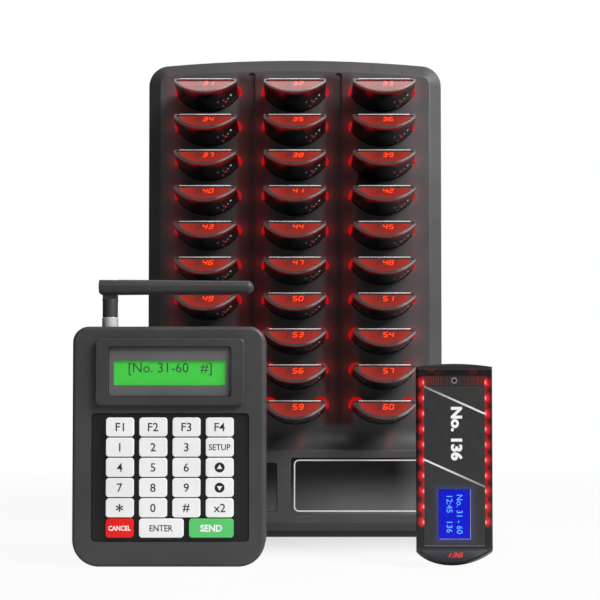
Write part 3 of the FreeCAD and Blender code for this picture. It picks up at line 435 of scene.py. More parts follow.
@dataclass(frozen=True)
class MouldedPlastic(Finish):
    """Injection-moulded plastic: a faint cloudiness in its colour, and the fine grain of its mould."""

    colour: str
    roughness: float = 0.45
    grain: float = 0.35  # size of the mould's grain, millimetres
    depth: float = 0.02
    cloud: float = 0.10  # how far the colour drifts
    coat: float = 0.0

    def dress(self, bench: Bench) -> None:
        """Set up the finish.

        Args:
            bench: the material in the making.
        """
        base = tone(self.colour)
        dark = tuple(c * (1 - self.cloud) for c in base)
        light = tuple(c * (1 + self.cloud) for c in base)
        bench.set(Base_Color=bench.blend(bench.step(bench.noise(45.0, 3.0), 0.3, 0.7), dark, light))
        rough = bench.uneven(6.0, self.roughness - 0.05, self.roughness + 0.05, 0.25, 0.75)
        bench.set(Roughness=rough, IOR=1.47, Coat_Weight=self.coat, Coat_Roughness=0.08)
        bench.bump(bench.noise(self.grain), self.depth)


@dataclass(frozen=True)
class GlowingHousing(Finish):
    """The rack's plastic, with the red light that the pagers' side lamps throw on it round each pocket
    painted in as its own glow, painted shade beside the grooves and a painted red reflection in the cove.
    """

    plastic: MouldedPlastic
    column_pitch: float  # millimetres, as are the sizes below
    row_pitch: float
    top_row: float
    rows: int
    panel: float  # the front panel's plane
    panel_bottom: float  # where the panel meets the cove
    spill: str = "520e10"
    lamp: str = "c60305"
    side: float = 30.0  # from a column's middle to the brightest place beside a pager
    ear_side: float = 23.5  # from a column's middle to the middle of a lamp's crescent
    ear_drop: float = 4.5  # of that middle below the row's nose edges
    ear_radius: float = 5.8
    ear_width: float = 2.3
    groove_half: float = 3.2
    groove_light_width: float = 0.55  # width of the painted red light along a groove's edge
    # colour of that painted red light
    groove_light_red: str = "2c0406"
    # painted shade: the plastic beside the grooves is darkened to this brightness
    shade: float = 0.3  # brightness of the plastic beside the grooves
    mirror_side: float = 6.0  # from a column's middle to the light mirrored in the cove
    mirror_height: float = 87.0
    mirror_lean: float = 0.35
    mirror_red: str = "441210"

    def dress(self, bench: Bench) -> None:
        """Set up the finish.

        Args:
            bench: the material in the making.
        """
        self.plastic.dress(bench)
        x, y, z = bench.millimetres(bench.place)
        from_middle, rise = self.nearest_pager(bench, x, z)
        patches = bench.uneven(14.0, 0.75, 1.15, 0.25, 0.75)
        spill, ear = self.lamp_light(bench, bench.math("ABSOLUTE", from_middle), rise, patches)
        front = bench.step(y, self.panel + 5.0, self.panel + 3.0)
        from_groove = bench.math("SUBTRACT", bench.math("ABSOLUTE", x), self.column_pitch / 2)
        at_edge = bench.math("SUBTRACT", bench.math("ABSOLUTE", from_groove), self.groove_half)
        high = bench.product(
            bench.step(z, self.top_row + 18.0, self.top_row + 6.0),
            bench.step(z, self.panel_bottom - 4.0, self.panel_bottom + 4.0),
        )
        # painted red light along each groove's edge
        line = bench.product(bench.bell(at_edge, 0.0, self.groove_light_width), high)
        light = bench.blend(bench.product(spill, front), BLACK, tone(self.spill))
        light = bench.blend(bench.product(line, front), light, tone(self.groove_light_red))
        light = bench.blend(bench.product(ear, front), light, tone(self.lamp))
        mirrored = bench.product(self.cove_spot(bench, from_middle, z), patches)
        bench.glow(bench.blend(mirrored, light, tone(self.mirror_red)))

        # painted shade: the base colour is darkened beside the grooves, and under the painted crescents and
        # groove lights so that their glow shows clean; the specular level drops with it
        beside = bench.step(bench.math("ABSOLUTE", from_groove), 17.0, 9.0)
        between = bench.product(beside, high, front)
        dim = bench.math("MAXIMUM", bench.product(between, 1.0 - self.shade), bench.product(ear, front, 0.95))
        dim = bench.math("MAXIMUM", dim, bench.product(line, front, 0.8))
        plain = bench.shader.inputs["Base Color"].links[0].from_socket
        bench.set(Base_Color=bench.blend(dim, plain, BLACK))
        bench.set(Specular_IOR_Level=bench.sum(0.5, bench.product(dim, -0.4)))

    def nearest_pager(self, bench: Bench, x: Socket, z: Socket) -> tuple[Socket, Socket]:
        """Where a place lies against the nearest docked pager.

        Args:
            bench: the material in the making.
            x: the place across the rack.
            z: its height.

        Returns:
            How far it lies right of that pager's middle and above its row.
        """
        column = bench.math("ROUND", bench.math("DIVIDE", x, self.column_pitch))
        column = bench.math("MINIMUM", bench.math("MAXIMUM", column, -1.0), 1.0)
        from_middle = bench.math("SUBTRACT", x, bench.product(column, self.column_pitch))
        below = bench.math("DIVIDE", bench.math("SUBTRACT", self.top_row, z), self.row_pitch)
        row = bench.math("MINIMUM", bench.math("MAXIMUM", bench.math("ROUND", below), 0.0), self.rows - 1.0)
        row_height = bench.math("SUBTRACT", self.top_row, bench.product(row, self.row_pitch))
        return from_middle, bench.math("SUBTRACT", z, row_height)

    def lamp_light(
        self, bench: Bench, across: Socket, rise: Socket, patches: Socket
    ) -> tuple[Socket, Socket]:
        """The light of a pager's side lamps: a soft spill beside it, and a bright crescent at each side.

        Args:
            bench: the material in the making.
            across: distance from the pager's middle.
            rise: height above its row.
            patches: unevenness of the light.

        Returns:
            The strength of the spill and of the crescents.
        """
        near_row = bench.sum(bench.product(bench.bell(rise, -2.0, 8.0), 0.75), 0.25)
        inside = bench.step(bench.math("ABSOLUTE", rise), 30.0, 14.0)
        spill = bench.product(bench.bell(across, self.side, 7.5), near_row, inside, patches)
        ear_x = bench.math("SUBTRACT", across, self.ear_side)
        ear_z = bench.math("ADD", rise, self.ear_drop)
        off = bench.math("ABSOLUTE", bench.math("SUBTRACT", bench.distance(ear_x, ear_z), self.ear_radius))
        crescent = bench.step(off, self.ear_width, 0.35 * self.ear_width)
        return spill, bench.product(crescent, bench.step(rise, -8.5, -5.5), patches)

    def cove_spot(self, bench: Bench, from_middle: Socket, z: Socket) -> Socket:
        """The slanted red spot that the cove mirrors under each column.

        Args:
            bench: the material in the making.
            from_middle: how far the place lies right of the column's middle.
            z: its height.

        Returns:
            The spot's strength.
        """
        above = bench.math("SUBTRACT", z, self.mirror_height)
        leant = bench.sum(from_middle, bench.product(above, -self.mirror_lean))
        return bench.product(bench.bell(leant, self.mirror_side, 4.0), bench.bell(above, 0.0, 7.0))


class PagerSide(Enum):
    """Which pagers a smoked case is for."""

    DOCKED = "docked"
    LOOSE = "loose"


@dataclass(frozen=True)
class PagerPlan:
    """A pager's sizes in millimetres, in its own frame: nose down, label face at y = 0, belly towards +Y."""

    width: float = 56.0
    depth: float = 18.2
    nose_rise: float = 15.2  # height of the nose's upper edge above its tip
    label_bottom: float = 16.6
    screen_width: float = 23.7
    screen_bottom: float = 21.6
    screen_top: float = 58.3
    lamp_pitch: float = 11.37
    first_lamp: float = 34.2  # heights of the lowest and the highest side lamp
    last_lamp: float = 136.5
    window_recess: float = 0.8
    ribs_bottom: float = 134.4  # heights of the ribbed strip's edges
    ribs_top: float = 141.6
    screw_radius: float = 2.3  # of the screw head in the strip
    screw_height: float = 138.0
    side_height: float = 4.0  # of the straight side beside the label face
    lens_half: float = 23.3  # half the lens's width
    lens_radius: float = 28.0  # of its round edge
    lens_bottom: float = 15.9  # depth of the lowest place of that edge behind the label face
    digit_drop: float = 7.7  # along the nose's slope, from its upper edge
    place_name: str = "pager_place"

    @property
    def screen_height(self) -> float:
        """The height of the screen."""
        return self.screen_top - self.screen_bottom

    @property
    def nose_length(self) -> float:
        """The length of the nose's slope."""
        return math.hypot(self.depth, self.nose_rise)

    @property
    def belly_radius(self) -> float:
        """The radius of the belly's curve."""
        rise = self.depth - self.side_height
        return ((self.width / 2) ** 2 + rise**2) / (2 * rise)

    def inset(self, place: Vector) -> float:
        """How far a place lies inside the pager's cross-section, in millimetres."""
        belly = self.belly_radius - math.hypot(place.x, place.y - self.depth + self.belly_radius)
        return min(belly, place.y, self.width / 2 - abs(place.x))

    def nose_depth(self, place: Vector) -> float:
        """How deep a place lies behind the nose's plane, in millimetres."""
        along = place.z * self.depth + place.y * self.nose_rise
        return (along - self.depth * self.nose_rise) / self.nose_length

    def nose_frame(self, drop: float, depth: float) -> Matrix:
        """A frame on the nose: x across, y up the slope, z outwards.

        Args:
            drop: how far down the slope from its upper edge, in millimetres.
            depth: how deep behind the nose's plane.

        Returns:
            The matrix, in metres.
        """
        down = Vector((0, self.depth, -self.nose_rise)) / self.nose_length
        out = Vector((0, -self.nose_rise, -self.depth)) / self.nose_length
        origin = (Vector((0, 0, self.nose_rise)) + down * drop - out * depth) * MM
        turned = Matrix((Vector((1, 0, 0)), -down, out)).transposed().to_4x4()
        return Matrix.Translation(origin) @ turned


@dataclass(frozen=True)
class SmokedCase(Finish):
    """The pager's smoked, glossy case, with the light of its lamps in it."""

    plan: PagerPlan
    kind: PagerSide
    colour: str = "09090a"
    fan: str = "f40c18"  # light of a side lamp
    core: str = "ffc6cc"  # the same at the lamp itself
    ribs_middle: str = "3a2a2b"  # light in the ribbed strip, at its middle and at its ends
    ribs_end: str = "6a2426"
    arch: str = "4a0608"  # dim light above the strip
    # colour of the painted highlight on the ring round the screw head
    screw: str = "8e8c8e"
    belly: str = "54070a"  # light in a docked pager's belly
    edge: str = "c80a0c"  # the same along its face's sides

    # each painted glint on a docked pager's belly: its place across and along, its two sizes and its colour
    GLINTS = (
        (22.0, 22.0, 0.6, 1.7, "d8d8d8"),
        (19.3, 27.5, 0.5, 1.3, "a8a8a8"),
        (17.0, 32.5, 0.8, 1.9, "f01030"),
        (15.1, 27.5, 0.5, 1.3, "6c6c6c"),
        (10.3, 28.5, 0.6, 1.6, "6c6c6c"),
        (14.1, 41.0, 0.9, 2.5, "742a2e"),
    )

    def dress(self, bench: Bench) -> None:
        """Set up the finish.

        Args:
            bench: the material in the making.
        """
        plan = self.plan
        x, y, z = bench.kept_place(plan.place_name)
        cloud = bench.noise(9.0, 3.0)
        base = tone(self.colour)
        bench.set(Base_Color=bench.blend(cloud, base, tuple(c * 1.8 for c in base)))
        bench.set(Roughness=bench.uneven(3.0, 0.14, 0.26, 0.2, 0.8), IOR=1.42)
        bench.set(Coat_Weight=0.25, Coat_Roughness=0.06)
        bench.bump(bench.noise(0.9), 0.006)

        side = bench.math("ABSOLUTE", x)
        light = self.lamp_light(bench, x, side, y, z)
        if self.kind is PagerSide.DOCKED:
            past = bench.sum(z, bench.product(y, plan.nose_rise / plan.depth), -plan.nose_rise)
            light = self.belly_light(bench, light, x, y, past)
        bench.glow(light)

    def lamp_light(self, bench: Bench, x: Socket, side: Socket, y: Socket, z: Socket) -> Socket:
        """The red fans of the side lamps in the face's margins, each with a white-hot core.

        Args:
            bench: the material in the making.
            x: place across the pager.
            side: distance from the pager's middle.
            y: depth behind the label face.
            z: height from the nose's tip.

        Returns:
            The light's colour.
        """
        plan = self.plan
        face = bench.step(y, 1.9, 1.1)
        phase = bench.math("DIVIDE", bench.math("SUBTRACT", z, plan.first_lamp), plan.lamp_pitch)
        away = bench.math("ABSOLUTE", bench.math("SUBTRACT", phase, bench.math("ROUND", phase)))
        reach = bench.product(away, plan.lamp_pitch)
        along = bench.product(
            bench.step(z, plan.first_lamp - 5.0, plan.first_lamp - 1.0),
            bench.step(z, plan.last_lamp + 5.5, plan.last_lamp + 2.5),
        )
        flicker = bench.uneven(1.8, 0.6, 1.15)
        wide = bench.product(bench.bell(side, 23.6, 2.3), bench.bell(reach, 0.0, 3.3))
        thin = bench.product(bench.bell(side, 23.0, 1.2), 0.45)
        fan = bench.product(bench.math("MAXIMUM", wide, thin), along, face, flicker)
        core = bench.product(bench.bell(side, 22.6, 0.7), bench.bell(reach, 0.0, 1.2), along, face)
        red = bench.blend(bench.product(fan, 1.25), BLACK, tone(self.fan))
        light = bench.blend(bench.product(core, 0.85), red, tone(self.core))
        if self.kind is PagerSide.DOCKED:
            return light
        return self.strip_light(bench, light, x, z, face)

    def strip_light(self, bench: Bench, light: Socket, x: Socket, z: Socket, face: Socket) -> Socket:
        """The lit ribs at the top of the face, a dim arch above them and a painted highlight round a screw.

        Args:
            bench: the material in the making.
            light: the light that is there already.
            x: place across the pager.
            z: height from the nose's tip.
            face: 1 on the face, 0 elsewhere.

        Returns:
            The light's colour.
        """
        plan = self.plan
        side = bench.math("ABSOLUTE", x)
        above = bench.step(z, plan.ribs_bottom, plan.ribs_bottom + 0.6)
        ribs = bench.product(above, bench.step(z, plan.ribs_top, plan.ribs_top - 0.8))
        ribs = bench.product(ribs, bench.step(side, 22.8, 21.8))
        lines = bench.step(bench.math("SINE", bench.product(x, 3.6)), -0.5, 0.5, 0.55, 1.0)
        glow = bench.blend(bench.step(side, 4.0, 22.0), tone(self.ribs_middle), tone(self.ribs_end))
        light = bench.blend(bench.product(ribs, lines, face), light, glow)
        arch = bench.product(bench.bell(z, plan.ribs_top + 2.9, 2.2), bench.bell(side, 15.0, 6.0))
        arch = bench.product(arch, bench.step(bench.noise(3.0), 0.4, 0.6))
        light = bench.blend(bench.product(arch, face), light, tone(self.arch))
        up = bench.math("SUBTRACT", z, plan.screw_height)
        away = bench.distance(x, up)
        off = bench.math("ABSOLUTE", bench.math("SUBTRACT", away, plan.screw_radius - 0.5))
        head = bench.step(away, plan.screw_radius + 0.2, plan.screw_radius)
        light = bench.blend(head, light, BLACK)
        # painted highlight: a grey ring round the screw head
        ring = bench.product(bench.step(off, 0.55, 0.3), bench.uneven(1.8, 0.6, 1.15))
        return bench.blend(ring, light, tone(self.screw))

    def belly_light(self, bench: Bench, light: Socket, x: Socket, y: Socket, past: Socket) -> Socket:
        """Light inside a docked pager: a band round the nose, patches in the belly and a few glints.

        Args:
            bench: the material in the making.
            light: the light that is there already.
            x: place across the pager.
            y: depth behind the label face.
            past: how far along the pager the place lies behind the nose's edge.

        Returns:
            The light's colour.
        """
        low = bench.step(y, 2.0, 4.0)
        side = bench.math("ABSOLUTE", x)
        band_colour = bench.blend(bench.step(past, 0.8, 3.6), tone("86403c"), tone("541214"))
        band = bench.product(bench.step(past, 0.2, 0.6), bench.step(past, 9.5, 4.5), low)
        light = bench.blend(band, light, band_colour)
        edge = bench.product(bench.step(y, 3.0, 1.0), bench.step(past, 0.1, 0.5), bench.step(past, 4.0, 1.0))
        light = bench.blend(bench.product(edge, bench.step(side, 17.0, 24.0)), light, tone(self.edge))
        deep = bench.product(bench.step(past, 1.6, 4.0), bench.step(past, 16.0, 7.5), low)
        grid = bench.step(bench.math("SINE", bench.product(past, 1.4)), -0.6, 0.4, 0.55, 1.0)
        patches = bench.math("MAXIMUM", bench.bell(side, 13.4, 5.0), bench.bell(x, 21.0, 3.5))
        patches = bench.product(patches, deep, grid, bench.uneven(2.6, 0.45, 1.0, 0.3, 0.65))
        light = bench.blend(patches, light, tone(self.belly))
        for across, along, size, length, colour in self.GLINTS:
            spot = bench.product(bench.bell(x, across, size), bench.bell(past, along, length), low)
            light = bench.blend(spot, light, tone(colour))
        return light


@dataclass(frozen=True)
class WindowLens(Finish):
    """The window in a pager's nose: a round-bottomed lens with its own light, red where it is lit and a dim
    painted slate glow where it is dark, in a grey surround.
    """

    plan: PagerPlan
    top: str  # colour of its own light under the upper edge
    foot: str  # the same at the lowest place
    ends: str  # the same at both sides
    body: str = "120a0b"
    surround: str = "4c4a4b"
    gloss: float = 0.12

    def dress(self, bench: Bench) -> None:
        """Set up the finish.

        Args:
            bench: the material in the making.
        """
        plan = self.plan
        x, y, _ = bench.kept_place(plan.place_name)
        up = bench.math("SUBTRACT", y, plan.lens_bottom - plan.lens_radius)
        out = bench.distance(x, up)
        side = bench.math("ABSOLUTE", x)
        inside = bench.product(
            bench.step(out, plan.lens_radius + 0.3, plan.lens_radius - 0.3),
            bench.step(side, plan.lens_half + 0.3, plan.lens_half - 0.3),
        )
        speckle = bench.step(bench.noise(0.9, 3.0), 0.3, 0.7, 0.88, 1.06)
        light = bench.blend(bench.step(y, 4.0, 15.0), tone(self.top), tone(self.foot))
        light = bench.blend(bench.product(bench.step(side, 6.0, 21.0), 0.8), light, tone(self.ends))
        light = bench.blend(speckle, BLACK, light)
        bench.set(Base_Color=bench.blend(inside, tone(self.surround), tone(self.body)))
        bench.glow(bench.blend(inside, BLACK, light))
        bench.set(Roughness=bench.uneven(2.0, 0.22, 0.34), IOR=1.35)
        bench.set(Coat_Weight=0.8, Coat_Roughness=self.gloss, Coat_IOR=1.5)


@dataclass(frozen=True)
class NoseRim(Finish):
    """The rim round a pager's nose: grey, with a painted highlight towards one side and painted red light
    along its upper edge.
    """

    plan: PagerPlan
    grey: str = "3e3d3e"
    # the grey of the painted highlight on the rim
    bright: str = "8a8484"
    red: str = "6e0608"
    lit: float = 1.0  # share of that red light

    def dress(self, bench: Bench) -> None:
        """Set up the finish.

        Args:
            bench: the material in the making.
        """
        plan = self.plan
        x, y, _ = bench.kept_place(plan.place_name)
        # painted highlight: the rim is lighter towards +x and down the nose, a little uneven
        wear_and_sheen = bench.uneven(1.2, 0.85, 1.0)
        painted_highlight = bench.product(bench.step(x, 7.0, 19.0), bench.step(y, 2.0, 6.0), wear_and_sheen)
        side = bench.math("ABSOLUTE", x)
        upper = bench.product(bench.step(y, 1.3, 0.9), bench.step(side, plan.lens_half + 0.8, plan.lens_half))
        grey = bench.blend(painted_highlight, tone(self.grey), tone(self.bright))
        bench.set(Base_Color=bench.blend(bench.product(upper, self.lit), grey, tone("180405")))
        red = bench.blend(bench.product(upper, self.lit), BLACK, tone(self.red))
        bench.glow(red)
        bench.set(Roughness=bench.uneven(2.0, 0.26, 0.36), Coat_Weight=0.4)


@dataclass(frozen=True)
class PagerLabel(Finish):
    """The printed label: a dotted dark ground, a plain field between two slanted silver lines."""

    plan: PagerPlan
    unlit_screen: bool  # whether the screen is a dark field of the print
    ground: str = "262626"
    dots: str = "4c4a46"
    field: str = "2b2b2c"
    fall: float = 0.447  # how much a line falls for each millimetre across
    upper_line: float = 123.6  # height of each line at the label's middle
    lower_line: float = 70.1
    line_half: float = 0.75  # half a line's width
    line_colour: str = "e4e4e6"
    foot_colour: str = "626264"
    halo: str = "1e2458"  # of the lit screen, on the print round it

    def dress(self, bench: Bench) -> None:
        """Set up the finish.

        Args:
            bench: the material in the making.
        """
        plan = self.plan
        x, _, z = bench.kept_place(plan.place_name)
        waves = [
            bench.math("SINE", bench.math("MULTIPLY", bench.math(kind, x, z), 2.9))
            for kind in ("ADD", "SUBTRACT")
        ]
        dotted = bench.step(bench.product(*waves), 0.35, 0.75)
        sloped = bench.math("ADD", z, bench.product(x, self.fall))
        above = bench.step(sloped, self.upper_line - 0.2, self.upper_line + 0.2)
        below = bench.step(sloped, self.lower_line + 0.2, self.lower_line - 0.2)
        outside = bench.math("MAXIMUM", above, below)
        colour = bench.blend(bench.product(dotted, outside), tone(self.ground), tone(self.dots))
        colour = bench.blend(bench.math("SUBTRACT", 1.0, outside), colour, tone(self.field))
        for middle, bright_end in ((self.upper_line, 1.0), (self.lower_line, -1.0)):
            off = bench.math("ABSOLUTE", bench.math("SUBTRACT", sloped, middle))
            line = bench.step(off, self.line_half + 0.15, self.line_half - 0.15)
            # painted sheen: each silver line is lighter towards one end
            sheen = bench.step(bench.product(x, bright_end), -26.0, 16.0, 0.25, 1.0)
            colour = bench.blend(bench.product(line, sheen), colour, tone(self.line_colour))
        foot = bench.step(z, plan.label_bottom + 1.0, plan.label_bottom + 0.5)
        colour = bench.blend(foot, colour, tone(self.foot_colour))
        out = self.outside_screen(bench, x, z)
        if self.unlit_screen:
            colour = bench.blend(bench.step(out, 0.2, -0.2), colour, tone("07080d"))
        else:
            halo = bench.product(bench.step(out, 5.5, -0.5), 0.8)
            bench.glow(bench.blend(halo, BLACK, tone(self.halo)))
        bench.set(Base_Color=colour)
        bench.set(Roughness=bench.uneven(4.0, 0.34, 0.46), IOR=1.45)
        bench.bump(bench.noise(0.5), 0.004)

    def outside_screen(self, bench: Bench, x: Socket, z: Socket) -> Socket:
        """How far a place on the label lies outside the screen.

        Args:
            bench: the material in the making.
            x: place across the pager.
            z: height from the nose's tip.

        Returns:
            The distance in millimetres, below 0 inside.
        """
        plan = self.plan
        up = bench.math("SUBTRACT", z, (plan.screen_bottom + plan.screen_top) / 2)
        out_x = bench.math("SUBTRACT", bench.math("ABSOLUTE", x), plan.screen_width / 2)
        out_z = bench.math("SUBTRACT", bench.math("ABSOLUTE", up), plan.screen_height / 2)
        return bench.math("MAXIMUM", out_x, out_z)


@dataclass(frozen=True)
class Screen(Finish):
    """A lit display behind glass: a grid of dots, with its light a little uneven."""

    colour: str
    edge: str
    dot: float  # millimetres
    lit: float = 0.75

    def dress(self, bench: Bench) -> None:
        """Set up the finish.

        Args:
            bench: the material in the making.
        """
        x, _, z = bench.millimetres(bench.place)
        waves = [bench.math("SINE", bench.product(axis, 2 * math.pi / self.dot)) for axis in (x, z)]
        cells = bench.step(bench.math("MAXIMUM", *waves), 0.9, 1.0, 0.0, 0.18)
        share = bench.math("ADD", cells, bench.uneven(30.0, 0.0, 0.22, 0.2, 0.8))
        colour = bench.blend(share, tone(self.colour), tone(self.edge))
        bench.set(Base_Color=colour)
        bench.glow(colour, self.lit)
        bench.set(Roughness=bench.uneven(8.0, 0.22, 0.32), Specular_IOR_Level=0.25)


@dataclass(frozen=True)
class Lamp(Finish):
    """A lit die or segment: its own light, a little uneven, under a glossy skin."""

    colour: str
    dim: str
    strength: float = 1.0

    def dress(self, bench: Bench) -> None:
        """Set up the finish.

        Args:
            bench: the material in the making.
        """
        colour = bench.blend(bench.step(bench.noise(1.1), 0.3, 0.7), tone(self.dim), tone(self.colour))
        bench.set(Base_Color=tone(self.dim))
        bench.glow(colour, self.strength)
        bench.set(Roughness=bench.uneven(2.0, 0.2, 0.35), Coat_Weight=1.0)
        bench.set(Coat_Roughness=0.12)


@dataclass(frozen=True)
class Metal(Finish):
    """Machined or plated metal with fine lines along one axis."""

    colour: str = "c9c9cb"
    roughness: float = 0.22
    stretch: tuple[float, float, float] = (1.0, 1.0, 12.0)
    metallic: float = 1.0
    dark: float = 0.8  # brightness of the darkest lines

    def dress(self, bench: Bench) -> None:
        """Set up the finish.

        Args:
            bench: the material in the making.
        """
        base = tone(self.colour)
        lines = bench.noise(1.4, 4.0, self.stretch)
        share = bench.step(lines, 0.35, 0.65)
        darker = tuple(c * self.dark for c in base)
        bench.set(Base_Color=bench.blend(share, darker, base), Metallic=self.metallic)
        bench.set(Roughness=bench.step(lines, 0.3, 0.7, self.roughness - 0.08, self.roughness + 0.1))
        bench.bump(lines, 0.004)


@dataclass(frozen=True)
class PaintedSheenPlate(Finish):
    """A glossy dark plate with a painted reflection: its colour runs from black at its upper left to grey at
    its foot and right end.
    """

    dark: str = "0a0a0b"
    pale: str = "6a6a6b"
    top: float = 62.0  # height where the painted reflection starts to turn paler downwards, millimetres
    foot: float = 22.0
    right: float = 112.0  # where the pale right end is reached

    def dress(self, bench: Bench) -> None:
        """Set up the finish.

        Args:
            bench: the material in the making.
        """
        x, _, z = bench.millimetres(bench.place)
        # painted reflection: paler towards the foot and towards the right end
        low = bench.product(bench.step(z, self.top, self.foot), bench.step(x, -4.0, 50.0, 0.5, 0.8))
        along = bench.math("ADD", low, bench.step(x, self.right - 24.0, self.right, 0.0, 0.35))
        along = bench.product(along, bench.uneven(60.0, 0.85, 1.0, 0.2, 0.8))
        bench.set(Base_Color=bench.blend(along, tone(self.dark), tone(self.pale)))
        bench.set(Roughness=bench.uneven(9.0, 0.3, 0.36), IOR=1.4)


@dataclass(frozen=True)
class Rubber(Finish):
    """Rubber or silicone: matt, with a soft sheen and a pebbled skin."""

    colour: str
    roughness: float = 0.62
    pebble: float = 0.7

    def dress(self, bench: Bench) -> None:
        """Set up the finish.

        Args:
            bench: the material in the making.
        """
        base = tone(self.colour)
        dusty = tuple(c * 1.25 + 0.002 for c in base)
        bench.set(Base_Color=bench.blend(bench.noise(12.0, 4.0), base, dusty), Sheen_Weight=0.08)
        bench.set(Roughness=bench.uneven(5.0, self.roughness - 0.06, self.roughness))
        bench.bump(bench.noise(self.pebble), 0.03)


@dataclass(frozen=True)
class CircuitBoard(Finish):
    """Green solder mask with copper tracks under it."""

    mask: str = "0d4a2a"
    track: str = "1c6e42"

    def dress(self, bench: Bench) -> None:
        """Set up the finish.

        Args:
            bench: the material in the making.
        """
        tracks = bench.add("ShaderNodeTexBrick")
        turn = bench.add("ShaderNodeMapping")
        turn.inputs["Rotation"].default_value = (math.radians(90), 0, 0)
        bench.link(bench.place, turn.inputs["Vector"])
        bench.link(turn.outputs[0], tracks.inputs["Vector"])
        tracks.inputs["Scale"].default_value = 160.0
        tracks.inputs["Mortar Size"].default_value = 0.03
        share = bench.math("SUBTRACT", 1.0, tracks.outputs["Fac"])
        bench.set(Base_Color=bench.blend(share, tone(self.track), tone(self.mask)))
        bench.set(Roughness=bench.uneven(6.0, 0.25, 0.4))
        bench.bump(tracks.outputs["Fac"], 0.03)


@dataclass(frozen=True)
class PrintedInk(Finish):
    """Ink on plastic: slightly uneven, with the tooth of a screen print."""

    colour: str
    roughness: float = 0.5

    def dress(self, bench: Bench) -> None:
        """Set up the finish.

        Args:
            bench: the material in the making.
        """
        base = tone(self.colour)
        wear_and_sheen = tuple(c * 0.86 for c in base)
        bench.set(Base_Color=bench.blend(bench.step(bench.noise(0.8), 0.2, 0.5), wear_and_sheen, base))
        bench.set(Roughness=bench.uneven(2.0, self.roughness - 0.05, self.roughness))


# ---------------------------------------------------------------- shapes


def clone(
    node: str,
    round_by: float = 0.0,
    segments: int = 2,
    chosen: Callable[[bmesh.types.BMEdge], bool] | None = None,
    turn: float = 30.0,
) -> BMesh:
    """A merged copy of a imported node's mesh, with its sharp edges rounded.

    A rounded copy is kept inside the node's own box.

    Args:
        node: the node's name.
        round_by: the width of the rounding in millimetres; 0 leaves the edges.
        segments: how many faces a rounding has.
        chosen: which of the sharp edges are rounded; all if not given.
        turn: how many degrees an edge turns to count as sharp.

    Returns:
        The copy.
    """
    part = bmesh.new()
    part.from_mesh(frame["nodes"][node].data)
    bmesh.ops.remove_doubles(part, verts=part.verts, dist=MERGE)
    bmesh.ops.dissolve_limit(
        part, angle_limit=FLAT, verts=part.verts, edges=part.edges, use_dissolve_boundaries=False
    )
    if round_by:
        limit = math.radians(turn)
        edges = [e for e in part.edges if len(e.link_faces) == 2 and e.calc_face_angle() > limit]
        edges = [e for e in edges if chosen is None or chosen(e)]
        round_edges(part, edges, round_by, segments)
        low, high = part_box(node)
        for vert in part.verts:
            vert.co = [min(max(c, least), most) for c, least, most in zip(vert.co, low, high)]
    return part


def round_edges(part: BMesh, edges: list[bmesh.types.BMEdge], width: float, segments: int) -> None:
    """Round some edges of a part.

    Args:
        part: the part.
        edges: the edges.
        width: the rounding's width in millimetres.
        segments: how many faces the rounding has.
    """
    bmesh.ops.bevel(
        part,
        geom=edges,
        offset=width * MM,
        offset_type="OFFSET",
        segments=segments,
        profile=0.5,
        affect="EDGES",
        material=-1,
        clamp_overlap=False,
        loop_slide=True,
    )


def slab(x: float, z: float, width: float, height: float, front: float, rear: float) -> BMesh:
    """A box across Y.

    Args:
        x: its middle across, in metres, as are the other sizes.
        z: its middle height.
        width: its width.
        height: its height.
        front: its front plane.
        rear: its rear plane.

    Returns:
        The box.
    """
    part = bmesh.new()
    size = Matrix.Diagonal((width, rear - front, height, 1.0))
    middle = Matrix.Translation((x, (front + rear) / 2, z))
    bmesh.ops.create_cube(part, size=1.0, matrix=middle @ size)
    return part


def rounded_slab(part: BMesh, corner: float, edge: float, segments: int = 6) -> BMesh:
    """Round a slab's four corners and then its front rim.

    Args:
        part: the slab.
        corner: the corners' radius in millimetres.
        edge: the front rim's radius in millimetres.
        segments: how many faces a corner has.

    Returns:
        The same part.
    """
    upright = [e for e in part.edges if abs((e.verts[0].co - e.verts[1].co).normalized().y) > 0.999]
    round_edges(part, upright, corner, segments)
    if edge:
        front = min(v.co.y for v in part.verts)
        rim = [e for e in part.edges if all(abs(v.co.y - front) < MERGE for v in e.verts)]
        round_edges(part, rim, edge, 3)
    return part


def cylinder(start: Vector, axis: Vector, radius: float, length: float, faces: int = 32) -> BMesh:
    """A closed cylinder.

    Args:
        start: the middle of its first end, in metres.
        axis: the direction that it runs in.
        radius: its radius.
        length: its length.
        faces: how many faces go round it.

    Returns:
        The cylinder.
    """
    part = bmesh.new()
    turned = axis.to_track_quat("Z", "Y").to_matrix().to_4x4()
    place = Matrix.Translation(start + axis.normalized() * length / 2) @ turned
    bmesh.ops.create_cone(
        part, cap_ends=True, segments=faces, radius1=radius, radius2=radius, depth=length, matrix=place
    )
    return part


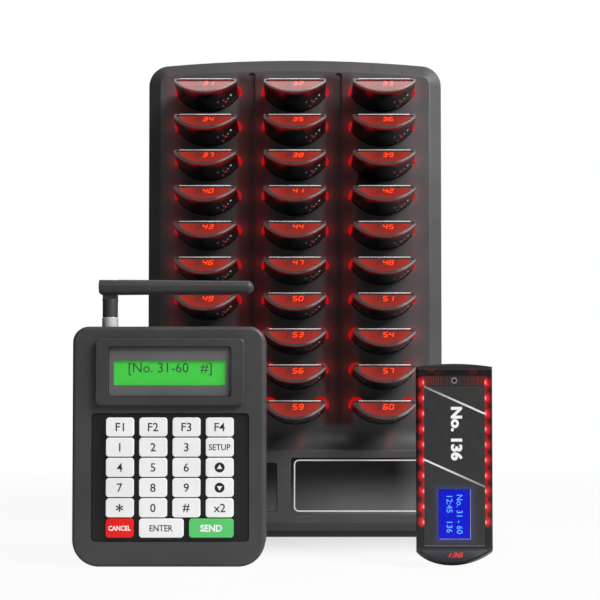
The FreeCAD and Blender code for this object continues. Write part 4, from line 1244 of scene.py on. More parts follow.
def words(body: str, size: float, place: Matrix, bold: float = 0.0, squeeze: float = 1.0) -> BMesh:
    """A legend as a thin solid.

    Args:
        body: what it says.
        size: its letters' size in metres.
        place: where its middle goes: x along the line, y up, z out of the surface.
        bold: how far the strokes are widened.
        squeeze: how wide the letters are against their usual width.

    Returns:
        The legend.
    """
    curve = bpy.data.curves.new("legend", "FONT")
    curve.body = body
    curve.size = size
    curve.align_x = "CENTER"
    curve.align_y = "CENTER"
    curve.extrude = INK
    curve.offset = bold
    curve.resolution_u = 3
    holder = bpy.data.objects.new("legend", curve)
    mesh = bpy.data.meshes.new_from_object(holder)
    part = bmesh.new()
    part.from_mesh(mesh)
    bmesh.ops.remove_doubles(part, verts=part.verts, dist=MERGE)
    low = Vector([min(v.co[axis] for v in part.verts) for axis in range(3)])
    high = Vector([max(v.co[axis] for v in part.verts) for axis in range(3)])
    part.transform(Matrix.Translation(-(low + high) / 2))
    part.transform(place @ Matrix.Diagonal((squeeze, 1.0, 1.0, 1.0)))
    bpy.data.objects.remove(holder)
    bpy.data.curves.remove(curve)
    bpy.data.meshes.remove(mesh)
    return part


def facing_front(x: float, y: float, z: float) -> Matrix:
    """A frame on a surface that faces the front: x to the right, y up, z out of it."""
    return Matrix.Translation((x, y, z)) @ Matrix.Rotation(math.radians(90), 4, "X")


class Piece:
    """A mesh in the making: parts are added with their materials, and it is then put on its body."""

    def __init__(self, name: str, place_name: str = "") -> None:
        """Start an empty piece.

        Args:
            name: the piece's name.
            place_name: the attribute that keeps each point's place in a sub-part's own frame, if any.
        """
        self.name = name
        self.place_name = place_name
        self.bm = bmesh.new()
        self.materials: list[Material] = []
        self.places: list[Vector] = []

    def index(self, material: Material) -> int:
        """The number of a material on this piece.

        Args:
            material: the material, added if it is new.

        Returns:
            Its number.
        """
        if material not in self.materials:
            self.materials.append(material)
        return self.materials.index(material)

    def add(
        self,
        part: BMesh,
        dress: Dress,
        place: Matrix | None = None,
        locate: Callable[[Vector], Vector] | None = None,
    ) -> "Piece":
        """Add a part.

        Args:
            part: the part, which is used up.
            dress: its material, or a function that gives each face its own.
            place: where the part goes; it stays if not given.
            locate: gives a placed point's place in its sub-part's own frame.

        Returns:
            The piece itself.
        """
        for face in part.faces:
            face.material_index = self.index(dress(face) if callable(dress) else dress)
            face.smooth = True
        before = [v.co.copy() for v in part.verts]
        if place is not None:
            part.transform(place)
        self.places += [locate(v.co) for v in part.verts] if locate else before
        scratch = bpy.data.meshes.new("scratch")
        part.to_mesh(scratch)
        part.free()
        self.bm.from_mesh(scratch)
        bpy.data.meshes.remove(scratch)
        return self

    def finish(self, body: str, slot: str, *stands_for: str) -> bpy.types.Object:
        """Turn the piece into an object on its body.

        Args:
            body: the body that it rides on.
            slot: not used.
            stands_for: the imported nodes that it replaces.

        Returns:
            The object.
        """
        mesh = bpy.data.meshes.new(self.name)
        self.bm.to_mesh(mesh)
        self.bm.free()
        for material in self.materials:
            mesh.materials.append(material)
        mesh.set_sharp_from_angle(angle=SHARP)
        if self.place_name:
            kept = mesh.attributes.new(self.place_name, "FLOAT_VECTOR", "POINT")
            kept.data.foreach_set("vector", [number for place in self.places for number in place])
        piece = bpy.data.objects.new(self.name, mesh)
        bpy.context.scene.collection.objects.link(piece)
        shading = piece.modifiers.new("shading", "WEIGHTED_NORMAL")
        shading.keep_sharp = True
        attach(piece, body)
        if stands_for:
            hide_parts(*stands_for)
        log.info("%s: %d faces on %s", self.name, len(mesh.polygons), body)
        return piece


def body_of(node: str) -> str:
    """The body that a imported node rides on."""
    return frame["nodes"][node]["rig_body"]


def dressed_copy(node: str, material: Material, round_by: float = 0.3, segments: int = 2) -> bpy.types.Object:
    """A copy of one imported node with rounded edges, which replaces it.

    Args:
        node: the node's name.
        material: the copy's material.
        round_by: the width of the rounding in millimetres.
        segments: how many faces a rounding has.

    Returns:
        The object.
    """
    piece = Piece(f"{node}_dressed")
    piece.add(clone(node, round_by, segments), material)
    return piece.finish(body_of(node), SLOTS[node], node)


def dress_node(node: str, material: Material) -> None:
    """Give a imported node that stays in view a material.

    Args:
        node: the node's name.
        material: its material.
    """
    for slot in frame["nodes"][node].material_slots:
        slot.material = material
    log.info("%s: kept, in %s", node, material.name)


# ---------------------------------------------------------------- seven-segment numbers


@dataclass(frozen=True)
class SegmentDisplay:
    """Slanted seven-segment numbers, in millimetres."""

    height: float = 6.0
    width: float = 3.6
    pitch: float = 5.1
    stroke: float = 0.85
    lean: float = math.tan(math.radians(10))
    thickness: float = 0.08
    gap: float = 0.12

    # for each segment: its middle in half-widths and half-heights, and whether it stands
    PLACES = {
        "a": (0, 1, False), "b": (1, 0.5, True), "c": (1, -0.5, True), "d": (0, -1, False),
        "e": (-1, -0.5, True), "f": (-1, 0.5, True), "g": (0, 0, False),
    }
    LIT = {
        "0": "abcdef", "1": "bc", "2": "abged", "3": "abgcd", "4": "fgbc",
        "5": "afgcd", "6": "afgedc", "7": "abc", "8": "abcdefg", "9": "abcdfg",
    }

    def segment(self, length: float) -> BMesh:
        """One segment: a thin bar with pointed ends, along x.

        Args:
            length: its length in millimetres.

        Returns:
            The segment.
        """
        part = bmesh.new()
        size = Matrix.Diagonal((length * MM, self.stroke * MM, 1.0, 1.0))
        bmesh.ops.create_grid(part, x_segments=1, y_segments=1, size=0.5, matrix=size)
        bmesh.ops.bevel(
            part,
            geom=part.verts[:],
            offset=0.48 * self.stroke * MM,
            offset_type="OFFSET",
            segments=1,
            profile=0.5,
            affect="VERTICES",
            material=-1,
        )
        raised = bmesh.ops.extrude_face_region(part, geom=part.faces[:], use_keep_orig=True)
        lifted = [v for v in raised["geom"] if isinstance(v, bmesh.types.BMVert)]
        bmesh.ops.translate(part, verts=lifted, vec=(0, 0, self.thickness * MM))
        bmesh.ops.recalc_face_normals(part, faces=part.faces)
        return part

    def draw(
        self, piece: Piece, digit: str, x: float, dress: Material, surface: Matrix, place: Matrix
    ) -> None:
        """Add a digit to a piece.

        Args:
            piece: the piece.
            digit: which digit.
            x: its middle across the display, in millimetres.
            dress: its material.
            surface: the display's surface in its sub-part's own frame.
            place: from that frame to the whole set's.
        """
        half_width = (self.width - self.stroke) / 2
        half_height = (self.height - self.stroke) / 2
        slant = Matrix.Identity(4)
        slant[0][1] = self.lean
        for name in self.LIT[digit]:
            across, up, standing = self.PLACES[name]
            length = half_height if standing else 2 * half_width
            middle = Matrix.Translation((across * half_width * MM, up * half_height * MM, 0))
            turned = Matrix.Rotation(math.radians(90 if standing else 0), 4, "Z")
            bar = self.segment(length - self.gap)
            bar.transform(surface @ Matrix.Translation((x * MM, 0, 0)) @ slant @ middle @ turned)
            piece.add(bar, dress, place)


# ---------------------------------------------------------------- charger rack


@dataclass
class ChargerRack:
    """The upright housing with its pockets, its chin with two glossy plates, and what stands behind."""

    column_pitch: float = 80.0  # millimetres, as are the sizes below
    row_pitch: float = 32.0
    top_row: float = 412.3  # height of the nose edges of the top row
    rows: int = 10
    panel: float = -60.0  # the front panel's plane
    panel_bottom: float = 102.0
    pocket_rise: float = 6.0  # of a pocket's top above its row
    plate_width: float = 122.0  # of the larger plate
    border_bottom: float = 2.6  # from the plate's edges to the silver line
    border_top: float = 1.4
    border_side: float = 2.5
    border_width: float = 1.1
    border_corner: float = 4.5
    plastic: MouldedPlastic = field(
        default_factory=lambda: MouldedPlastic("rack_plastic_look", "474647", 0.42, grain=0.32, depth=0.03)
    )

    def housing(self) -> None:
        """The front housing, its outer edges rounded, and the rear cover."""
        low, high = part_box("rack_front_shell")
        pockets_side = 1.45 * self.column_pitch * MM
        pockets_top = (self.top_row + self.pocket_rise) * MM
        pockets_bottom = self.panel_bottom * MM

        def outer(edge: bmesh.types.BMEdge) -> bool:
            """Whether an edge lies on the outside, clear of the pockets."""
            middle = (edge.verts[0].co + edge.verts[1].co) / 2
            clear = abs(middle.x) > pockets_side or not pockets_bottom < middle.z < pockets_top
            return clear and middle.y < low.y + 0.025 and edge.is_convex

        sizes = (self.column_pitch, self.row_pitch, self.top_row, self.rows, self.panel, self.panel_bottom)
        glow = GlowingHousing(self.plastic.name, self.plastic, *sizes).make()
        shell = Piece("rack_front_shell_dressed")
        shell.add(clone("rack_front_shell", 0.7, 3, outer, 20.0), glow)
        shell.finish("root", SLOTS["rack_front_shell"], "rack_front_shell")
        cover = MouldedPlastic("rack_cover_look", "3c3b3c", 0.5, 0.5, 0.05).make()
        dressed_copy("rack_rear_cover", cover, 0.35)

    def plates(self) -> None:
        """The two glossy plates in the chin, the larger one with a silver line round it."""
        gloss = PaintedSheenPlate("chin_plate_painted_sheen").make()
        silver = Metal(
            "border_silver", "ffffff", 0.34, (12.0, 1.0, 1.0), metallic=0.3, dark=0.85
        ).make()
        piece = Piece("rack_chin_plates_dressed")
        piece.add(clone("rack_chin_plates", 0.35, 2), gloss)
        low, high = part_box("rack_chin_plates")
        left = high.x - self.plate_width * MM
        piece.add(self.border_line(left, high.x, low.z, high.z, low.y), silver)
        piece.finish("root", SLOTS["rack_chin_plates"], "rack_chin_plates")

    def border_line(self, left: float, right: float, bottom: float, top: float, front: float) -> BMesh:
        """The raised silver line: a rounded frame on the plate's face.

        Args:
            left: the plate's left side, in metres, as are the other places.
            right: its right side.
            bottom: its lower side.
            top: its upper side.
            front: its front plane.

        Returns:
            The line.
        """
        bottom, top = bottom + self.border_bottom * MM, top - self.border_top * MM
        width = right - left - 2 * self.border_side * MM
        line = slab((left + right) / 2, (bottom + top) / 2, width, top - bottom, front - 2 * INK, front + INK)
        rounded_slab(line, self.border_corner, 0.0, 8)
        faces = [f for f in line.faces if abs(f.normal.y) > 0.9]
        bmesh.ops.inset_region(line, faces=faces, thickness=self.border_width * MM, depth=0.0)
        inner = [f for f in faces if f.is_valid]
        loops = [[e for e in face.edges] for face in inner]
        bmesh.ops.delete(line, geom=inner, context="FACES_ONLY")
        bmesh.ops.bridge_loops(line, edges=[e for loop in loops for e in loop])
        bmesh.ops.recalc_face_normals(line, faces=line.faces)
        return line

    def inside(self) -> None:
        """What stands in the rack and under it: board, contacts, pad, screws and inlets."""
        dress_node("charging_board", CircuitBoard("circuit_board_look").make())
        dress_node("charging_contacts", Metal("contact_gold", "d9b25a", 0.25).make())
        dressed_copy("rack_foot_pad", Rubber("foot_rubber_look", "161616", 0.7).make(), 0.6)
        dressed_copy("case_screws", Metal("screw_steel_look", "8f8f92", 0.3, (1.0, 8.0, 1.0)).make(), 0.2)
        dressed_copy("dc_jacks", MouldedPlastic("jack_look", "141414", 0.35).make(), 0.2)

    def build(self) -> None:
        """Build and dress the rack."""
        self.housing()
        self.plates()
        self.inside()


# ---------------------------------------------------------------- pagers


@dataclass
class PagerFinishes:
    """The materials that the docked pagers and the loose one share."""

    plan: PagerPlan

    def __post_init__(self) -> None:
        """Make the materials."""
        self.docked_case = SmokedCase("pager_case_docked", self.plan, PagerSide.DOCKED).make()
        self.loose_case = SmokedCase("pager_case_loose", self.plan, PagerSide.LOOSE).make()
        self.rim = NoseRim("pager_rim_grey", self.plan).make()
        self.slate_rim = NoseRim("pager_rim_slate", self.plan, "303036", "70707a", lit=0.0).make()
        self.lens = WindowLens("pager_window_red", self.plan, "94281f", "982e26", "b23429").make()
        # the loose pager's unlit window: its slate colour is given mostly as its own dim glow, painted light
        slate = WindowLens(
            "pager_window_slate", self.plan, "24242e", "2c2c38", "24242e", "26262c", "2c2c32", 0.3
        )
        self.dark_lens = slate.make()
        self.docked_label = PagerLabel("pager_label_docked", self.plan, True).make()
        self.loose_label = PagerLabel("pager_label_print", self.plan, False).make()
        self.strip = MouldedPlastic(
            "nose_strip_silver", "f0eceb", 0.24, grain=1.5, depth=0.003, cloud=0.12, coat=0.3
        ).make()
        self.number = Lamp("number_lit", "ff4a22", "f03a18", 1.0).make()
        # the unlit digit is given a dim red glow of its own, painted light
        self.number_unlit_glow = Lamp("number_unlit", "4c2a2a", "402426", 0.8).make()
        self.number_loose = Lamp("number_red", "ff2a20", "d81c14", 0.95).make()


@dataclass
class DockedPagers:
    """The thirty pagers in the rack, one piece for each row."""

    plan: PagerPlan
    looks: PagerFinishes
    rack: ChargerRack
    reach: float = 33.0  # from the panel to the nose's upper edge, millimetres
    tilt: float = 6.0  # degrees
    columns: int = 3
    first_number: int = 31
    strip_width: float = 45.9  # of the silver strip along the nose's upper edge
    strip_height: float = 0.85
    strip_drop: float = 1.45  # of that strip down the nose's slope
    units_place: float = 5.5  # the last digit's middle, right of the pager's middle

    def dock(self, column: int, row: int) -> Matrix:
        """From a pager's own frame to its pocket.

        Args:
            column: the pocket's column, 0 at the left.
            row: its row, 0 at the top.

        Returns:
            The matrix.
        """
        x = (column - (self.columns - 1) / 2) * self.rack.column_pitch
        y = self.rack.panel - self.reach
        z = self.rack.top_row - row * self.rack.row_pitch
        turned = Matrix.Rotation(math.radians(-90 - self.tilt), 4, "X")
        lowered = Matrix.Translation((0, 0, -self.plan.nose_rise * MM))
        return Matrix.Translation(Vector((x, y, z)) * MM) @ turned @ lowered

    def row_piece(self, row: int) -> None:
        """One row: its three cases with their noses' windows, strips and numbers.

        Args:
            row: the row, 0 at the top.
        """
        node = f"pager_row_{row + 1:02d}"
        frames = [self.dock(column, row) for column in range(self.columns)]
        backs = [place.inverted() for place in frames]
        plan, looks = self.plan, self.looks

        def local(point: Vector) -> Vector:
            """A point's place in the frame of the pager that it belongs to."""
            column = round(point.x / (self.rack.column_pitch * MM)) + 1
            return backs[max(0, min(self.columns - 1, column))] @ point

        def dress(face: Face) -> Material:
            """The material of a face, by its place on the pager."""
            place = local(face.calc_center_median()) / MM
            depth = plan.nose_depth(place)
            if 0.6 < depth < 0.95 and face.calc_area() > 1e-5:
                return looks.lens
            if depth < 0.12 or depth < 0.75 and plan.inset(place) > 1.8:
                return looks.rim
            if 0.3 < place.y < 0.5 and face.calc_area() > 1e-4:
                return looks.docked_label
            return looks.docked_case

        piece = Piece(f"{node}_dressed", plan.place_name)
        piece.add(clone(node, 0.45, 3), dress, locate=local)
        display = SegmentDisplay(height=7.3, width=4.4, pitch=5.3, stroke=1.1)
        for column, place in enumerate(frames):
            strip = slab(0, 0, self.strip_width * MM, 0.3 * MM, 0, self.strip_height * MM)
            strip.transform(plan.nose_frame(self.strip_drop, -0.1))
            round_edges(strip, strip.edges[:], 0.1, 1)
            piece.add(strip, looks.strip, place)
            number = str(self.first_number + self.columns * row + column)
            surface = plan.nose_frame(plan.digit_drop, plan.window_recess)
            for back, digit in enumerate(reversed("8" + number)):
                dress_digit = looks.number_unlit_glow if back == 2 else looks.number
                x = self.units_place - back * display.pitch
                display.draw(piece, digit, x, dress_digit, surface, place)
        piece.finish(body_of(node), SLOTS[node], node)

    def build(self) -> None:
        """Build and dress all rows."""
        for row in range(self.rack.rows):
            self.row_piece(row)


@dataclass
class LoosePager:
    """The pager that stands beside the rack, label face forward."""

    plan: PagerPlan
    looks: PagerFinishes
    number: str = "136"
    units_place: float = 5.3  # the last digit's middle, right of the pager's middle, millimetres
    number_drop: float = 10.4  # along the nose's slope, from its upper edge
    title_size: float = 10.6  # of the number printed on the label
    title_side: float = 1.6  # of its middle, right of the pager's middle
    title_height: float = 99.0
    screen_lines: tuple[str, str] = ("No. 31 - 60", "12:45   136")
    line_sides: tuple[float, float] = (3.6, -3.8)  # of each line, right of the pager's middle
    line_size: float = 6.2

    def __post_init__(self) -> None:
        """Find where the pager stands."""
        low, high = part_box("pager_belly_shell")
        face_low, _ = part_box("pager_face_plate")
        self.origin = Vector(((low.x + high.x) / 2, face_low.y, low.z))
        self.stand = Matrix.Translation(self.origin)

    def local(self, point: Vector) -> Vector:
        """A point's place in the pager's own frame."""
        return point - self.origin

    def shell(self, node: str, dress: Dress, round_by: float) -> None:
        """One of the pager's own pieces as a dressed copy.

        Args:
            node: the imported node.
            dress: its material, or a function that gives each face its own.
            round_by: the width of the rounding in millimetres.
        """
        piece = Piece(f"{node}_dressed", self.plan.place_name)
        piece.add(clone(node, round_by, 3), dress, locate=self.local)
        piece.finish(body_of(node), SLOTS[node], node)

    def case(self) -> None:
        """The belly shell, with the rim round its nose, and the face plate."""
        plan, looks = self.plan, self.looks

        def dress(face: Face) -> Material:
            """The rim round the nose apart from the rest of the shell."""
            place = self.local(face.calc_center_median()) / MM
            return looks.slate_rim if plan.nose_depth(place) < 0.2 else looks.loose_case

        self.shell("pager_belly_shell", dress, 0.35)
        piece = Piece("pager_face_plate_dressed", plan.place_name)
        piece.add(clone("pager_face_plate", 0.2, 2), looks.loose_case, locate=self.local)
        piece.finish("root", SLOTS["pager_face_plate"], "pager_face_plate")

    def label(self) -> None:
        """The label sheet with the pager's number, set just under the ink so that the ink ends flush."""
        x = self.origin.x + self.title_side * MM
        title = facing_front(x, self.origin.y + INK, self.title_height * MM)
        title = title @ Matrix.Rotation(-math.pi / 2, 4, "Z")
        white = PrintedInk("label_white", "f4f4f4").make()
        letters = words(f"No. {self.number}", self.title_size * MM, title, bold=0.5 * MM, squeeze=1.12)
        piece = Piece("pager_label_dressed", self.plan.place_name)
        under_ink = Matrix.Translation((0, 2 * INK, 0))
        piece.add(clone("pager_label", 0.1, 3), self.looks.loose_label, under_ink, self.local)
        piece.add(letters, white, locate=self.local)
        piece.finish(body_of("pager_label"), SLOTS["pager_label"], "pager_label")

    def screen(self) -> None:
        """The small display with its two lines, which read downwards, and its bright edges."""
        plan = self.plan
        letters = Lamp("pager_screen_letters", "4aa0ff", "3d90f0", 0.9).make()
        silver = Metal("pager_screen_edge", "c8c8cc", 0.3).make()
        blue = Screen("pager_screen_blue", "000aa8", "0210b4", 0.7, 0.52).make()
        piece = Piece("pager_lcd_dressed")
        piece.add(clone("pager_lcd", 0.1, 1), blue)
        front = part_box("pager_lcd")[0].y
        middle = (plan.screen_bottom + plan.screen_top) / 2 * MM
        downwards = Matrix(((0, 1, 0), (0, 0, -1), (-1, 0, 0))).to_4x4()
        for line, offset in zip(self.screen_lines, self.line_sides):
            place = Matrix.Translation((self.origin.x + offset * MM, front - INK, middle)) @ downwards
            piece.add(words(line, self.line_size * MM, place), letters)
        proud = front - 0.4 * MM
        edge_x = self.origin.x + (plan.screen_width / 2 - 0.3) * MM
        piece.add(slab(edge_x, middle, 0.45 * MM, plan.screen_height * MM, proud, front), silver)
        foot_z = (plan.screen_bottom + 0.3) * MM
        piece.add(slab(self.origin.x, foot_z, (plan.screen_width - 1.2) * MM, 0.4 * MM, proud, front), silver)
        piece.finish("root", SLOTS["pager_lcd"], "pager_lcd")

    def nose(self) -> None:
        """The nose's window with the pager's number in it."""
        piece = Piece("pager_nose_window_dressed", self.plan.place_name)
        piece.add(clone("pager_nose_window", 0.15, 2), self.looks.dark_lens, locate=self.local)
        display = SegmentDisplay(height=6.6, width=3.8, pitch=4.6, stroke=1.0)
        surface = self.plan.nose_frame(self.number_drop, self.plan.window_recess)
        for back, digit in enumerate(reversed(self.number)):
            x = self.units_place - back * display.pitch
            display.draw(piece, digit, x, self.looks.number_loose, surface, self.stand)
        piece.finish("root", SLOTS["pager_nose_window"], "pager_nose_window")

    def inside(self) -> None:
        """The board, the lamps and the cell."""
        dress_node("pager_board", CircuitBoard("pager_board_look").make())
        dress_node("pager_leds", Lamp("side_lamp_red", "ff2020", "ff6060", 1.0).make())
        wrap = MouldedPlastic("cell_wrap_look", "1f5fa8", 0.3, grain=3.0, depth=0.05, coat=0.3)
        dress_node("pager_battery", wrap.make())

    def build(self) -> None:
        """Build and dress the loose pager."""
        self.case()
        self.label()
        self.screen()
        self.nose()
        self.inside()


# ---------------------------------------------------------------- transmitter


class KeyLook(Enum):
    """The colours of the keys."""

    WHITE = "fcfcfc"
    RED = "f0160c"
    GREEN = "5ed070"


@dataclass(frozen=True)
class KeyCap:
    """What one key shows: its node's name, its colour, its legend and the legend's size in millimetres."""

    node: str
    legend: str
    look: KeyLook = KeyLook.WHITE
    size: float = 8.8
    bold: float = 0.07  # how far its strokes are widened, millimetres
    squeeze: float = 1.0  # its width against the letters' usual width


@dataclass
class Keypad:
    """Twenty-three keys on their dark plate."""

    arrow_disc: float = 3.7  # radius of the disc round an arrow, millimetres
    arrow: float = 2.3  # from the arrow's middle to its corners

    KEYS = (
        KeyCap("f1", "F1"), KeyCap("f2", "F2"), KeyCap("f3", "F3"), KeyCap("f4", "F4"),
        KeyCap("1", "1"), KeyCap("2", "2"), KeyCap("3", "3"),
        KeyCap("setup", "SETUP", size=6.3, squeeze=0.92),
        KeyCap("4", "4"), KeyCap("5", "5"), KeyCap("6", "6"), KeyCap("up", "^"),
        KeyCap("7", "7"), KeyCap("8", "8"), KeyCap("9", "9"), KeyCap("down", "v"),
        KeyCap("star", "*", size=12.0, bold=0.2), KeyCap("0", "0"), KeyCap("hash", "#"),
        KeyCap("x2", "x2"),
        KeyCap("cancel", "CANCEL", KeyLook.RED, 4.8, 0.14, 0.89),
        KeyCap("enter", "ENTER", size=6.6, squeeze=0.88),
        KeyCap("send", "SEND", KeyLook.GREEN, 7.0, 0.24, 0.93),
    )

    def build(self) -> None:
        """Build and dress the keys, their plate and the sheet behind them."""
        plate = MouldedPlastic("keypad_plate_look", "161619", 0.4, 0.4, 0.02).make()
        dressed_copy("keypad_plate", plate, 0.2)
        dress_node("dome_sheet", Rubber("dome_silicone", "8a8c90", 0.5).make())
        caps = {
            look: MouldedPlastic(
                f"key_{look.name.lower()}_look", look.value, 0.34, grain=0.6, depth=0.012, cloud=0.03
            ).make()
            for look in KeyLook
        }
        dark = PrintedInk("legend_dark", "161618").make()
        white = PrintedInk("legend_white", "ffffff").make()
        for key in self.KEYS:
            ink = dark if key.look is KeyLook.WHITE else white
            self.key(key, caps[key.look], ink, white)

    def key(self, cap: KeyCap, plastic: Material, ink: Material, white: Material) -> None:
        """One key with its legend.

        Args:
            cap: what the key shows.
            plastic: its material.
            ink: the legend's material.
            white: the material of the arrow in a disc.
        """
        node = f"key_{cap.node}"
        low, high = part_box(node)
        x, z = (low.x + high.x) / 2, (low.z + high.z) / 2
        piece = Piece(f"{node}_dressed")
        piece.add(clone(node), plastic)
        if cap.legend in "^v":
            back = Vector((x, low.y + INK, z))
            piece.add(cylinder(back, Vector((0, -1, 0)), self.arrow_disc * MM, 2 * INK, 40), ink)
            arrow = bmesh.new()
            turn = 0.0 if cap.legend == "^" else math.pi
            place = facing_front(x, low.y - INK, z) @ Matrix.Rotation(turn, 4, "Z")
            bmesh.ops.create_cone(
                arrow,
                cap_ends=True,
                segments=3,
                radius1=self.arrow * MM,
                radius2=self.arrow * MM,
                depth=INK,
                matrix=place @ Matrix.Diagonal((1.0, 0.95, 1.0, 1.0)),
            )
            piece.add(arrow, white)
        else:
            place = facing_front(x, low.y, z)
            piece.add(words(cap.legend, cap.size * MM, place, cap.bold * MM, cap.squeeze), ink)
        piece.finish(body_of(node), SLOTS[node], node)


@dataclass
class Transmitter:
    """The keypad transmitter's case, display and keys."""

    message: str = "[No. 31-60   #]"
    message_size: float = 10.2  # millimetres
    message_rise: float = 2.8  # above the display's middle

    def case(self) -> None:
        """The two halves of the case."""
        plastic = MouldedPlastic("transmitter_plastic", "424243", 0.4, 0.32, 0.025).make()
        dressed_copy("tx_front_case", plastic, 0.3)
        dressed_copy("tx_rear_case", plastic, 0.3)

    def display(self) -> None:
        """The hood, the bezel and the lit display with its message."""
        hood = MouldedPlastic("hood_plastic_look", "3d3d3e", 0.42, 0.32, 0.025).make()
        bezel = MouldedPlastic("bezel_grey_look", "5f5f60", 0.5, 0.3, 0.02).make()
        dressed_copy("display_hood", hood, 0.3)
        dressed_copy("display_bezel", bezel, 0.35)
        green = Screen("display_green", "40b843", "38aa3c", 0.62, 0.36).make()
        ink = PrintedInk("display_ink", "3c4a40").make()
        low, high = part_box("lcd_module")
        x = (low.x + high.x) / 2
        z = (low.z + high.z) / 2 + self.message_rise * MM
        piece = Piece("lcd_module_dressed")
        piece.add(clone("lcd_module", 0.1, 1), green)
        piece.add(words(self.message, self.message_size * MM, facing_front(x, low.y, z)), ink)
        piece.finish("root", SLOTS["lcd_module"], "lcd_module")

    def build(self) -> None:
        """Build and dress the transmitter."""
        self.case()
        self.display()
        Keypad().build()
        dress_node("main_board", CircuitBoard("main_board_look").make())


@dataclass
class Antenna:
    """The metal connector, the knuckle that turns on it and the arm that tilts on the knuckle."""

    facets: int = 12  # flats round the collar
    stud_radius: float = 3.0  # millimetres, as are the sizes below
    stud_above: float = 6.0  # how far the stud stands out of the collar
    nut_radius: float = 5.5
    nut_height: float = 6.0

    def connector(self) -> None:
        """The faceted collar with its stud and the nut inside the case."""
        low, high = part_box("antenna_connector")
        _, case_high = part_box("tx_front_case")
        middle = Vector(((low.x + high.x) / 2, (low.y + high.y) / 2, 0))
        radius = (high.x - low.x) / 2
        bottom = case_high.z
        top = high.z - self.stud_above * MM
        up = Vector((0, 0, 1))
        plating = Metal(
            "connector_plating", "ffffff", 0.16, (1.0, 1.0, 14.0), metallic=0.4, dark=0.45
        ).make()
        piece = Piece("antenna_connector_dressed")
        collar = cylinder(middle + up * bottom, up, radius, top - bottom, self.facets)
        ends = [e for e in collar.edges if abs(e.verts[0].co.z - e.verts[1].co.z) < MERGE]
        round_edges(collar, ends, 0.35, 2)
        piece.add(collar, plating)
        stud = cylinder(middle + up * low.z, up, self.stud_radius * MM, high.z - low.z, 24)
        piece.add(stud, plating)
        nut = cylinder(middle + up * low.z, up, self.nut_radius * MM, self.nut_height * MM, 6)
        piece.add(nut, plating)
        piece.finish(body_of("antenna_connector"), SLOTS["antenna_connector"], "antenna_connector")

    def build(self) -> None:
        """Build and dress the antenna."""
        self.connector()
        rubber = MouldedPlastic("antenna_rubber_look", "39393a", 0.42, 0.5, 0.03).make()
        dressed_copy("antenna_knuckle", rubber, 0.4)
        dressed_copy("antenna_arm", rubber, 0.4)


# ---------------------------------------------------------------- studio


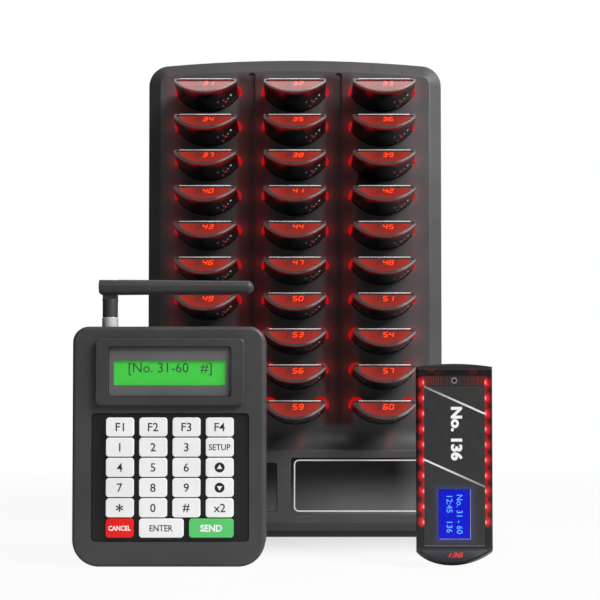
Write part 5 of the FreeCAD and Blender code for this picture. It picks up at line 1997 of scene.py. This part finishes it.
@dataclass
class Studio:
    """The camera, the pale floor, the backdrop and the soft lights."""

    eye: Vector = field(default_factory=lambda: Vector((0.0046, -1.114, 0.120)))
    pitch: float = 1.5  # degrees upwards
    lens: float = 68.94
    lift: float = 0.125  # of the picture's height, which lowers the object in the frame
    ambient: float = 0.34  # strength of the light that comes from all round
    floor_radius: float = 1.6
    floor_white: float = 0.93  # share of its own white that the floor shows
    # painted shadow close before the rack:
    shaded: float = 0.5  # how much smaller that share is close before the rack

    def camera(self) -> None:
        """The camera at the front, a little above the keypad's height."""
        data = bpy.data.cameras.new("front_camera")
        data.lens = self.lens
        data.sensor_width = 36.0
        data.shift_y = self.lift
        data.clip_start = 0.05
        camera = bpy.data.objects.new("front_camera", data)
        camera.location = self.eye
        camera.rotation_euler = (math.radians(90 + self.pitch), 0, 0)
        bpy.context.scene.collection.objects.link(camera)
        bpy.context.scene.camera = camera

    def lamp(self, name: str, place: Vector, aim: Vector, size: tuple[float, float], power: float) -> None:
        """A soft rectangular light.

        Args:
            name: its name.
            place: where it stands.
            aim: the point that it faces.
            size: its width and height.
            power: its power in watts.
        """
        data = bpy.data.lights.new(name, "AREA")
        data.shape = "RECTANGLE"
        data.size, data.size_y = size
        data.energy = power
        lamp = bpy.data.objects.new(name, data)
        lamp.location = place
        lamp.rotation_euler = (aim - place).to_track_quat("-Z", "Y").to_euler()
        bpy.context.scene.collection.objects.link(lamp)

    def lights(self) -> None:
        """A top light above the rack, a broad key from the right and a weaker one from the front."""
        set_middle = Vector((0, -0.1, 0.2))
        rack_top = Vector((0, 0.2, 0.4))
        self.lamp("top_light", Vector((0, 0.36, 1.35)), rack_top, (0.9, 0.34), 2.0)
        self.lamp("key_light", Vector((1.3, -1.2, 1.5)), set_middle, (1.0, 1.0), 50.0)
        self.lamp("front_light", Vector((0.4, -1.3, 1.5)), set_middle, (1.0, 0.8), 5.5)

    def world(self) -> None:
        """A white surround for the camera, and a greyer one, darker to the left, for light and mirrors."""
        world = bpy.data.worlds.new("studio")
        bpy.context.scene.world = world
        world.use_nodes = True
        board = NodeBoard(world.node_tree)
        path = board.add("ShaderNodeLightPath").outputs
        apart = board.add("ShaderNodeSeparateXYZ")
        board.link(board.add("ShaderNodeTexCoord").outputs["Generated"], apart.inputs[0])
        across = board.math("MULTIPLY_ADD", apart.outputs["X"], 0.5, 0.5)
        side = board.step(across, 0.3, 0.72, 0.05, 1.0, "LINEAR")
        height = board.step(apart.outputs["Z"], 0.05, 0.75, 0.38, 0.78, "LINEAR")
        ambient = board.surround(side, self.ambient)
        mirrored = board.surround(board.product(side, height))
        plain = board.mix(path["Is Glossy Ray"], ambient, mirrored)
        direct = board.math("MAXIMUM", path["Is Camera Ray"], path["Is Transmission Ray"])
        whole = board.mix(direct, plain, board.surround((1.0, 1.0, 1.0)))
        board.link(whole, board.add("ShaderNodeOutputWorld").inputs["Surface"])

    def floor(self) -> None:
        """A pale disc under the set, white where nothing shades it."""
        part = bmesh.new()
        bmesh.ops.create_circle(part, cap_ends=True, segments=96, radius=self.floor_radius)
        mesh = bpy.data.meshes.new("floor")
        part.to_mesh(mesh)
        part.free()
        floor = bpy.data.objects.new("floor", mesh)
        bpy.context.scene.collection.objects.link(floor)
        mesh.materials.append(self.floor_paint())

    def floor_paint(self) -> Material:
        """The floor's white, which keeps soft shadows, has a painted shadow close before the rack and fades
        out far from the set.

        Returns:
            The material.
        """
        bench = Bench("floor_paint")
        bench.set(Base_Color=(0.65, 0.65, 0.65), Roughness=0.9, Specular_IOR_Level=0.1)
        path = bench.add("ShaderNodeLightPath").outputs
        seen = bench.math("MAXIMUM", path["Is Camera Ray"], path["Is Transmission Ray"])
        x, y, _ = bench.millimetres(bench.place)
        side = bench.math("ABSOLUTE", x)
        # painted shadow: the floor's own white is lowered in front of the rack
        painted_rack_shadow = bench.product(bench.step(y, -215.0, -75.0), bench.step(side, 185.0, 120.0))
        share = bench.product(seen, bench.sum(self.floor_white, bench.product(painted_rack_shadow, -self.shaded)))
        white = bench.add("ShaderNodeEmission").outputs[0]
        lit = bench.mix(share, bench.shader.outputs[0], white)
        clear = bench.add("ShaderNodeBsdfTransparent").outputs[0]
        far = bench.step(bench.distance(x, y), 450.0, 1300.0)
        bench.link(bench.mix(far, lit, clear), bench.surface)
        return bench.material

    def build(self) -> None:
        """Set up the studio."""
        self.camera()
        self.lights()
        self.world()
        self.floor()
        bpy.context.scene.view_settings.view_transform = "Standard"


def main() -> None:
    """Build the set piece by piece, then the studio round it."""
    logging.basicConfig(level=logging.INFO, format="%(name)s %(message)s")
    Studio().build()
    plan = PagerPlan()
    looks = PagerFinishes(plan)
    rack = ChargerRack()
    rack.build()
    DockedPagers(plan, looks, rack).build()
    LoosePager(plan, looks).build()
    Transmitter().build()
    Antenna().build()


if __name__ == "__main__":
    main()
